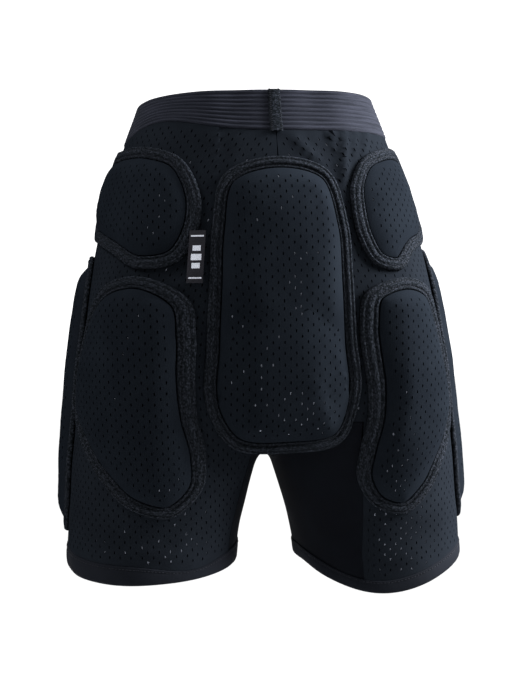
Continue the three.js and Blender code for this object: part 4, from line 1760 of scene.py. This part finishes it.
@dataclass
class Pad:
    """A foam pad under a perforated cover, with a knit tape sewn round it."""

    name: str
    word: str
    width: float
    height: float
    thickness: float
    shares: Sequence[tuple[float, float]]
    place: Place
    trees: Trees
    seed: float = 0.0
    tape_width: float = 10.5
    tape_rise: float = 3.4
    tape_section: tuple[tuple[float, float], ...] = (
        (0.0, 0.0),
        (0.08, 0.42),
        (0.5, 0.78),
        (1.3, 1.02),
        (2.2, 1.06),
        (2.9, 0.82),
        (3.6, 1.08),
        (5.0, 1.2),
        (6.2, 1.16),
        (7.0, 0.98),
        (7.7, 0.62),
        (8.4, 0.9),
        (9.3, 0.98),
        (10.0, 0.8),
        (10.4, 0.4),
        (10.5, 0.0),
    )
    rows: tuple[tuple[float, float], ...] = ((2.9, 0.82), (7.7, 0.64))
    shoulder: tuple[float, ...] = (0.0, 0.6, 1.5)

    @property
    def node(self) -> str:
        """Ending of the CAD nodes' names."""
        return f"_{self.word}" if self.word else ""

    @cached_property
    def edge(self) -> Array:
        """The outer edge of the tape."""
        return smooth_edge(self.shares, self.width, self.height, 3.0)

    def on(self, flat: Array, height: Array | float) -> Array:
        """Points in space for flat points about the pad's middle.

        Args:
            flat: Across, and up.
            height: Above the body's surface.

        Returns:
            One point for each.
        """
        place = self.place
        z = -place.middle * BODY.length + flat[:, 1]
        if place.flat:
            return BODY.seat(flat[:, 0], z, height)
        turn = place.turn + (flat[:, 0] + place.lean * flat[:, 1]) / place.wrap
        p = BODY.reach(place.axis, z, turn)
        return BODY.lifted(p, height) * (place.side, 1, 1)

    @cached_property
    def stretch(self) -> tuple[Array, Array]:
        """Across the pad's middle: places in the pad's own measure, and lengths of cloth to them."""
        across = np.linspace(-0.6, 0.6, 121) * self.width
        run = np.linalg.norm(np.diff(self.on(np.stack([across, 0 * across], -1), 6.0), axis=0), axis=1)
        length = np.concatenate([[0.0], np.cumsum(run)])
        return across, length - np.interp(0.0, across, length)

    def laid(self, flat: Array, back: bool = False) -> Array:
        """Flat points with lengths of cloth in place of the pad's own measure across, or back."""
        own, cloth = self.stretch
        across = np.interp(flat[:, 0], cloth, own) if back else np.interp(flat[:, 0], own, cloth)
        return np.stack([across, flat[:, 1]], -1)

    def outward(self, flat: Array) -> Array:
        """Outward directions at flat points."""
        way = self.on(flat, 6.0) - self.on(flat, 1.0)
        return way / np.linalg.norm(way, axis=1, keepdims=True)

    def build_tape(self) -> bpy.types.Object:
        """Sweep the tape's section round the edge and sew two rows into it."""
        foot, count = self.place.stand - 0.3, len(self.edge)
        loops, lay = [], []
        run = np.arange(count) * 3.0 + 60.0
        for inwards, share in self.tape_section:
            flat = drawn_in(self.edge, inwards)
            wave = 0.22 * ripple(self.on(flat, 0.0), 21.0, self.seed) * min(share, 1.0)
            loops.append(self.on(flat, foot + share * self.tape_rise + wave))
            lay.append(level_row(run, LAY_MIDDLE + inwards))
        name = f"{self.name}_tape{self.node}"
        faces = ring_faces(len(loops), count)
        piece = make_object(name, np.concatenate(loops), faces, BORDER_TAPE, np.concatenate(lay))
        ride(piece, f"{self.name}_binding{self.node}")
        rows = []
        for inwards, share in self.rows:
            flat = drawn_in(self.edge, inwards)
            wave = 0.22 * ripple(self.on(flat, 0.0), 21.0, self.seed)
            height = foot + share * self.tape_rise + wave + 0.05
            rows.append((self.on(flat, height), self.outward(flat), True))
        stitches = sew(f"{self.name}_stitches{self.node}", rows, self.trees)
        return piece

    def crown(self, inwards: Array) -> Array:
        """Share of the foam's height at distances in from the cover's rim."""
        return 0.26 + 0.74 * (1 - np.exp(-inwards / 11.0))

    def heights(self, flat: Array, inwards: Array, swollen: bvhtree.BVHTree | None) -> Array:
        """Height of the cover above the body at flat points.

        Args:
            flat: Across, and up.
            inwards: Distance in from the rim.

        Returns:
            One height for each point.
        """
        foot = self.place.stand
        bulge = self.thickness - foot
        plain = foot + bulge * self.crown(inwards)
        wave = 0.28 * ripple(self.on(flat, 0.0), 46.0, self.seed) * smoothstep(1.0, 12.0, inwards)
        if swollen is None:
            return plain + wave
        start = self.on(flat, self.thickness + 20.0) * MM
        way = -self.outward(flat)
        found = plain.copy()
        for k in range(len(flat)):
            hit = swollen.ray_cast(Vector(start[k]), Vector(way[k]), 0.04)
            if hit[3] is not None:
                found[k] = self.thickness + 20.0 - hit[3] / MM
        move = np.clip(found - plain, -1.2, 2.4) * smoothstep(1.5, 13.0, inwards)
        return plain + 0.85 * move + wave

    def build_cover(self) -> bpy.types.Object:
        """Make the crowned cover: shoulder, perforated top and underside."""
        foot = self.place.stand - 0.3
        start = self.tape_width + 0.55
        cad = bpy.data.objects[f"{self.name}_pad{self.node}"]
        swollen = Swelling().run(cad, self.place.stand + 2.6)
        rim = drawn_in(self.edge, start)
        count = len(rim)
        under = cut_cloth(rim, (15.0, 15.0), None)
        flats = [under.points]
        spaces = [self.on(under.points, foot + np.where(np.arange(len(under.points)) < count, 0.0, 0.5))]
        faces: list[Face] = [tuple(reversed(f)) for f in under.outer]
        base, last = len(under.points), 0
        for inwards in self.shoulder:
            flat = drawn_in(self.edge, start + inwards)
            flats.append(flat)
            spaces.append(self.on(flat, self.heights(flat, np.full(count, inwards), swollen)))
            for i in range(count):
                j = (i + 1) % count
                faces.append((last + i, last + j, base + j, base + i))
            last, base = base, base + count
        top = cut_cloth(self.laid(flats[-1]), CELL, HOLE_SIZE)
        rest = self.laid(top.points[count:], back=True)
        flats.append(rest)
        spaces.append(self.on(rest, self.heights(rest, depth_inside(rim, rest), swollen)))
        before = len(faces)
        faces += [tuple(last + v for v in f) for f in top.outer]
        pits = np.zeros(len(faces), bool)
        pits[before:] = top.pits
        whole = np.concatenate(spaces)
        lit = np.where(pits, flecked(whole[[f[0] for f in faces]]), 0.0).astype(np.float32)
        name = f"{self.name}_cover{self.node}"
        marks = {"pit": ("BOOLEAN", "FACE", pits), "lit": ("FLOAT", "FACE", lit)}
        lay = np.concatenate(flats) + LAY_MIDDLE
        piece = make_object(name, whole, faces, COVER_KNIT, lay, marks)
        values = {
            "Depth": 1.1 * MM,
            "Narrowing": 0.85,
            "Seed": int(self.seed * 10) + 7,
            "Hole": HOLE.material,
            "Fleck": FLECK.material,
        }
        apply_tree(piece, self.trees.perforations, values)
        crisp(piece)
        ride(piece, f"{self.name}_pad{self.node}")
        return piece

    def build(self) -> None:
        """Build the pad's pieces and report them."""
        for piece in (self.build_tape(), self.build_cover()):
            report(piece)


TAIL_EDGE = (
    (-0.04, 1.0), (-0.69, 0.88), (-0.87, 0.51), (-0.93, 0.13), (-0.98, -0.25), (-1.0, -0.64),
    (-0.65, -0.95), (0.06, -1.0), (0.76, -0.94), (1.0, -0.61), (0.94, -0.23), (0.9, 0.15),
    (0.86, 0.54), (0.64, 0.9),
)
HIP_EDGE_LEFT = (
    (-0.07, 1.0), (0.31, 1.0), (0.8, 0.985), (1.0, 0.7), (0.98, -0.03), (0.68, -0.41),
    (0.3, -0.54), (-0.07, -0.71), (-0.41, -0.97), (-0.75, -0.89), (-0.93, -0.4), (-0.95, 0.21),
    (-0.79, 0.74), (-0.45, 0.95),
)
HIP_EDGE_RIGHT = (
    (-0.31, 0.95), (0.18, 1.0), (0.66, 0.94), (0.94, 0.6), (1.0, 0.17), (0.91, -0.26),
    (0.53, -0.52), (0.07, -0.65), (-0.29, -0.95), (-0.7, -0.86), (-0.92, -0.47), (-1.0, -0.04),
    (-0.98, 0.4), (-0.75, 0.78),
)
THIGH_EDGE_LEFT = (
    (0.85, 0.46), (0.6, 0.75), (0.18, 0.95), (-0.36, 1.0), (-0.78, 0.81), (-0.84, 0.5),
    (-0.83, 0.18), (-0.87, -0.14), (-0.98, -0.46), (-0.96, -0.77), (-0.58, -0.99), (-0.08, -0.9),
    (0.28, -0.66), (0.61, -0.4), (0.96, -0.16), (1.0, 0.16),
)
THIGH_EDGE_RIGHT = (
    (-0.28, 1.0), (-0.81, 0.89), (-0.91, 0.63), (-0.88, 0.37), (-0.82, 0.11), (-0.83, -0.16),
    (-0.94, -0.41), (-1.0, -0.67), (-0.73, -0.91), (-0.17, -0.99), (0.27, -0.81), (0.54, -0.57),
    (0.81, -0.33), (1.0, -0.09), (0.91, 0.17), (0.73, 0.42), (0.57, 0.67), (0.3, 0.91),
)
SIDE_EDGE = (
    (0.0, 1.0), (-0.62, 0.97), (-0.93, 0.78), (-0.99, 0.4), (-0.98, 0.0), (-0.93, -0.45),
    (-0.84, -0.84), (-0.5, -0.98), (0.0, -1.0), (0.5, -0.98), (0.84, -0.84), (0.93, -0.45),
    (0.98, 0.0), (0.99, 0.4), (0.93, 0.78), (0.62, 0.97),
)


@dataclass(frozen=True)
class Wrap:
    """How one kind of pad goes round the body: axis and radius are shares of half the body's width.

    Its inner edge lies at a share of half the pad's width, and it stands off the body by millimetres.
    """

    axis: float
    radius: float
    start: float
    stand: float

    def half(self, width: float) -> float:
        """Turn from a pad's inner edge to its middle."""
        return -self.start * width / 2 / (self.radius * BODY.half_width)

    def place(self, side: Side, middle: float, turn: float, lean: float = 0.0) -> Place:
        """Place of a pad that is wrapped so."""
        half = BODY.half_width
        return Place(side.value, middle, self.stand, self.axis * half, self.radius * half, turn, lean)


HIP_WRAP = Wrap(0.333, 0.528, -0.99, 1.3)
THIGH_WRAP = Wrap(0.528, 0.444, -0.83, 1.35)
SIDE_WRAP = Wrap(0.472, 0.489, -1.0, 1.35)


@dataclass(frozen=True)
class SidePads:
    """One side's hip and thigh pads: width, height and thickness in millimetres, outlines and places."""

    side: Side
    hip: tuple[float, float, float]
    hip_edge: tuple[tuple[float, float], ...]
    hip_top: float
    thigh: tuple[float, float, float]
    thigh_edge: tuple[tuple[float, float], ...]
    thigh_start: float
    thigh_drop: float


SIDES = (
    SidePads(
        Side.LEFT,
        hip=(169.0, 108.0, 11.0),
        hip_edge=HIP_EDGE_LEFT,
        hip_top=0.0984,
        thigh=(120.0, 205.0, 13.0),
        thigh_edge=THIGH_EDGE_LEFT,
        thigh_start=0.52 + 0.024,
        thigh_drop=0.012,
    ),
    SidePads(
        Side.RIGHT,
        hip=(100.0, 111.0, 8.5),
        hip_edge=HIP_EDGE_RIGHT,
        hip_top=0.1076,
        thigh=(88.0, 206.0, 13.0),
        thigh_edge=THIGH_EDGE_RIGHT,
        thigh_start=0.52 - 0.004,
        thigh_drop=0.008,
    ),
)


@dataclass(frozen=True)
class PadSet:
    """Places the pads from the tailbone outwards, each from its neighbour, as in the part's source.

    Starts are shares of the tailbone pad's width, and middles and tops shares of the body's length.
    """

    trees: Trees
    tail: tuple[float, float, float] = (134.0, 250.0, 17.0)
    tail_middle: float = 0.4188
    tail_stand: float = 0.95
    hip_start: float = 0.443
    flank: tuple[float, float, float] = (104.0, 250.0, 14.0)
    flank_top: float = 0.306
    flank_lean: float = -0.06
    flank_gap: float = 8.0
    space: float = 3.0

    def placed(self, wrap: Wrap, side: Side, width: float, share: float, middle: float) -> Place:
        """Place of a pad whose inner edge starts beside the tailbone pad.

        Args:
            wrap: How the pad goes round the body.
            side: Left or right.
            width: The pad's width.
            share: Where its inner edge starts, as a share of the tailbone pad's width.
            middle: Height of its middle, as a share of the body's length.

        Returns:
            The pad's place.
        """
        x = self.tail[0] * share + self.space
        deep = float(BODY.depth(np.array([x]), np.array([-middle * BODY.length]), Way.BACK)[0])
        inner = math.atan2(x - wrap.axis * BODY.half_width, deep)
        return wrap.place(side, middle, inner + wrap.half(width))

    def pads(self) -> list[Pad]:
        """Every pad with its place, the tailbone's first."""
        place = Place(1, self.tail_middle, self.tail_stand, flat=True)
        made = [Pad("tailbone", "", *self.tail, TAIL_EDGE, place, self.trees, 0.4)]
        for k, row in enumerate(SIDES):
            word = row.side.word
            middle = row.hip_top + row.hip[1] / 2 / BODY.length
            place = self.placed(HIP_WRAP, row.side, row.hip[0], self.hip_start, middle)
            made.append(Pad("hip", word, *row.hip, row.hip_edge, place, self.trees, 1.1 + k))
            middle = row.hip_top + (row.hip[1] + row.thigh[1] / 2) / BODY.length + row.thigh_drop
            place = self.placed(THIGH_WRAP, row.side, row.thigh[0], row.thigh_start, middle)
            made.append(Pad("thigh", word, *row.thigh, row.thigh_edge, place, self.trees, 3.1 + k))
            outer = place.turn + row.thigh[0] / 2 / (THIGH_WRAP.radius * BODY.half_width)
            turn = outer + math.radians(self.flank_gap) + SIDE_WRAP.half(self.flank[0])
            middle = self.flank_top + self.flank[1] / 2 / BODY.length
            place = SIDE_WRAP.place(row.side, middle, turn, self.flank_lean)
            made.append(Pad("side", word, *self.flank, SIDE_EDGE, place, self.trees, 5.1 + k))
        return made


# Waist and label


@dataclass
class Waistband:
    """Broad ribbed elastic round the waist, and the overlocked strip that closes it at the back."""

    trees: Trees
    count: int = 300
    ribs: int = 9
    inside: float = -1.6
    proud: float = 0.9
    smooth: int = 22
    join_width: float = 9.0
    join_bend: float = 90.0

    def loop(self, down: float, height: float) -> Array:
        """Points round the waist, smoothed so that the elastic has no corners.

        Args:
            down: Depth below the top edge, where the band is at its broadest.
            height: How far off the body.

        Returns:
            The loop's points.
        """
        turns = np.linspace(0, 2 * math.pi, self.count, endpoint=False)
        p = BODY.reach(0.0, np.full(self.count, -BAND_HEIGHT), turns)
        p = BODY.reach(0.0, -down * band_foot(p) / BAND_HEIGHT, turns)
        wave = 0.25 * ripple(p, 70.0, 3.0)
        waves = np.fft.rfft(BODY.lifted(p, height + wave), axis=0)
        waves[self.smooth :] = 0
        return np.fft.irfft(waves, self.count, axis=0)

    def section(self) -> list[tuple[float, float]]:
        """The band's section: down from the top, and height above the body, with a lap inside its foot."""
        foot = BAND_HEIGHT - SEAM
        pitch = foot / self.ribs
        rows = [(0.5, self.inside), (0.0, -0.8), (0.0, 0.1), (0.45, 0.62)]
        for k in range(self.ribs):
            for share, height in ((0.08, 0.3), (0.3, 1.0), (0.7, 1.0), (0.94, 0.3)):
                rows.append((pitch * (k + share), height * self.proud))
        rows += [(foot, 0.1), (foot, -1.75), (foot + 2.6, -1.75), (foot + 2.6, -2.35), (foot - 2.0, -2.35)]
        rows += [(down, self.inside) for down in (26.0, 17.0, 9.0)]
        return rows

    def build_band(self) -> bpy.types.Object:
        """Weave the band."""
        rows = self.section()
        loops = [self.loop(down, height) for down, height in rows]
        size = np.linalg.norm(np.diff(loops[5], axis=0), axis=1).sum()
        run = np.linspace(0, size, self.count, endpoint=False) + 60.0
        lay = np.concatenate([level_row(run, LAY_MIDDLE - down) for down, _ in rows])
        faces = ring_faces(len(loops), self.count)
        piece = make_object("ribbed_waist_elastic", np.concatenate(loops), faces, WAIST_ELASTIC, lay)
        ride(piece, "waistband")
        return piece

    def build_join(self) -> bpy.types.Object:
        """Lay the closing strip, with overlock threads that wrap its two edges."""
        across, rows = 9, 30
        grid, lay = [], []
        share = np.linspace(-1, 1, across)
        turns = share * self.join_width / 2 / self.join_bend
        for down in np.linspace(0.3, BAND_HEIGHT + 1.3, rows):
            p = BODY.reach(0.0, np.full(across, -down), turns)
            height = 2.1 + 0.9 * (1 - np.abs(share) ** 3) + 0.15 * math.sin(down * 1.1)
            grid.append(BODY.lifted(p, height))
            lay.append(level_row(share * self.join_width / 2 + LAY_MIDDLE, LAY_MIDDLE - down))
        outer = np.concatenate(grid)
        inner = BODY.lifted(outer, -1.0)
        faces = grid_faces(rows, across)
        piece = close_cloth("overlocked_join", outer, inner, faces, BORDER_TAPE, np.concatenate(lay))
        crisp(piece, 60)
        ride(piece, "waistband_join")
        sewn = []
        for column in (1, across - 2):
            path = np.stack([row[column] for row in grid])
            sewn.append((path + BODY.normals(path) * 0.1, BODY.normals(path), False))
        threads = sew("join_overlock", sewn, self.trees, 1.7, 2.6, 0.6, 1.15)
        return piece

    def build(self) -> None:
        """Build the waist's pieces and report them."""
        for piece in (self.build_band(), self.build_join()):
            report(piece)


@dataclass
class Label:
    """A folded ribbon label that hangs from under the left hip pad's tape, with plain bars only."""

    width: float = 12.0
    height: float = 43.0
    thickness: float = 0.8
    down: float = 120.0
    turn: float = 5.6
    axis: float = 0.333
    wrap: float = 0.6
    stand: float = 6.45

    def build(self) -> bpy.types.Object:
        """Fold the ribbon."""
        across, rows = 9, 34
        outer, lay = [], []
        share = np.linspace(-0.5, 0.5, across)
        for r in range(rows):
            t = r / (rows - 1)
            sideways = share * self.width + 0.1 * (t - 0.5) * self.height
            turns = math.radians(self.turn) + sideways / (self.wrap * BODY.half_width)
            z = np.full(across, -self.down - self.height * t)
            p = BODY.reach(self.axis * BODY.half_width, z, turns)
            curl = 0.7 * (2 * share) ** 2 * t - 0.9 * smoothstep(0.8, 1.0, np.full(across, t))
            outer.append(BODY.lifted(p, self.stand + curl) * (-1, 1, 1))
            lay.append(level_row(LAY_MIDDLE + share * self.width, self.height * (1 - t)))
        points = np.concatenate(outer)
        normals = BODY.normals(points * (-1, 1, 1)) * (-1, 1, 1)
        inner = points - normals * self.thickness
        faces = [face[::-1] for face in grid_faces(rows, across)]
        piece = close_cloth("woven_tab", points, inner, faces, LABEL_RIBBON, np.concatenate(lay))
        crisp(piece, 60)
        ride(piece, "label")
        return piece


# Studio


@dataclass(frozen=True)
class Studio:
    """White floor under a white world, soft light from all round with a little more from the right, and
    the camera.
    """

    azimuth: float = -10.0
    elevation: float = 1.2
    roll: float = 1.5
    target: tuple[float, float] = (-1.0, -217.0)
    distance: float = 1300.0
    focal: float = 1413.04
    picture: tuple[int, int] = (516, 688)
    floor: float = -0.95

    def axes(self) -> tuple[Vector, Vector, Vector]:
        """The camera's right, up and back directions."""
        az, el, roll = (math.radians(v) for v in (self.azimuth, self.elevation, self.roll))
        back = Vector((math.sin(az) * math.cos(el), -math.cos(az) * math.cos(el), math.sin(el)))
        right = (-back).cross(Vector((0, 0, 1))).normalized()
        up = right.cross(-back)
        return (
            right * math.cos(roll) - up * math.sin(roll),
            right * math.sin(roll) + up * math.cos(roll),
            back,
        )

    def build_camera(self) -> None:
        """Set the camera to the photograph's view."""
        data = bpy.data.cameras.new("view_from_behind")
        data.sensor_fit = "HORIZONTAL"
        data.sensor_width = 36.0
        data.lens = self.focal * 36.0 / self.picture[0]
        data.clip_start, data.clip_end = 0.05, 60.0
        camera = bpy.data.objects.new("view_from_behind", data)
        right, up, back = self.axes()
        level = (-back).cross(Vector((0, 0, 1))).normalized()
        aim = level * self.target[0] * MM + Vector((0, 0, self.target[1] * MM))
        turn = Matrix((right, up, back)).transposed()
        camera.matrix_world = Matrix.Translation(aim + back * self.distance * MM) @ turn.to_4x4()
        bpy.context.scene.collection.objects.link(camera)
        bpy.context.scene.camera = camera

    def build_floor(self) -> None:
        """A plain white floor, far enough below for a worn garment."""
        data = bpy.data.meshes.new("studio_floor")
        size = 14.0
        corners = [(x * size, y * size, self.floor) for x, y in ((-1, -1), (1, -1), (1, 1), (-1, 1))]
        data.from_pydata(corners, [], [(0, 1, 2, 3)])
        paper = Finish("white_studio_paper", "e0e0e0", 0.9)
        data.materials.append(paper.material)
        floor = bpy.data.objects.new("studio_floor", data)
        bpy.context.scene.collection.objects.link(floor)

    def build_light(self, name: str, place: tuple[float, float, float], size: float, power: float) -> None:
        """A square soft light that faces the garment."""
        data = bpy.data.lights.new(name, "AREA")
        data.shape = "SQUARE"
        data.size = size
        data.energy = power
        data.spread = math.radians(55)
        lamp = bpy.data.objects.new(name, data)
        lamp.location = place
        way = Vector((0, 0, -0.22)) - Vector(place)
        lamp.rotation_euler = way.to_track_quat("-Z", "Y").to_euler()
        bpy.context.scene.collection.objects.link(lamp)

    def build(self) -> None:
        """Build the studio."""
        scene = bpy.context.scene
        scene.view_settings.view_transform = "Standard"
        world = bpy.data.worlds.new("white_room")
        world.use_nodes = True
        background = next(n for n in world.node_tree.nodes if n.type == "BACKGROUND")
        background.inputs["Color"].default_value = (1, 1, 1, 1)
        background.inputs["Strength"].default_value = 1.4
        scene.world = world
        self.build_camera()
        self.build_floor()
        self.build_light("key_from_the_right", (2.25, -0.3, 0.85), 1.3, 220.0)
        self.build_light("fill_from_the_left", (-1.25, -0.25, 1.3), 0.7, 11.0)
        self.build_light("soft_top", (0.3, -0.25, 1.8), 1.0, 11.0)


def report(piece: bpy.types.Object) -> None:
    """Log a finished piece."""
    piece.data.calc_loop_triangles()
    log.info("%s: %d triangles", piece.name, len(piece.data.loop_triangles))


def main() -> None:
    """Build the shorts and the studio."""
    logging.basicConfig(level=logging.INFO, format="%(name)s %(message)s")
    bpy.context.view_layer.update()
    Studio().build()
    trees = Trees(perforation_tree(), stitch_tree())
    for leg in LEGS:
        for part in (MeshPanel(leg, trees), InnerPanel(leg), Hem(leg, trees)):
            report(part.build())
    for way in Way:
        report(SeamTape(way).build())
    Waistband(trees).build()
    for pad in PadSet(trees).pads():
        pad.build()
    report(Label().build())


if __name__ == "__main__":
    main()
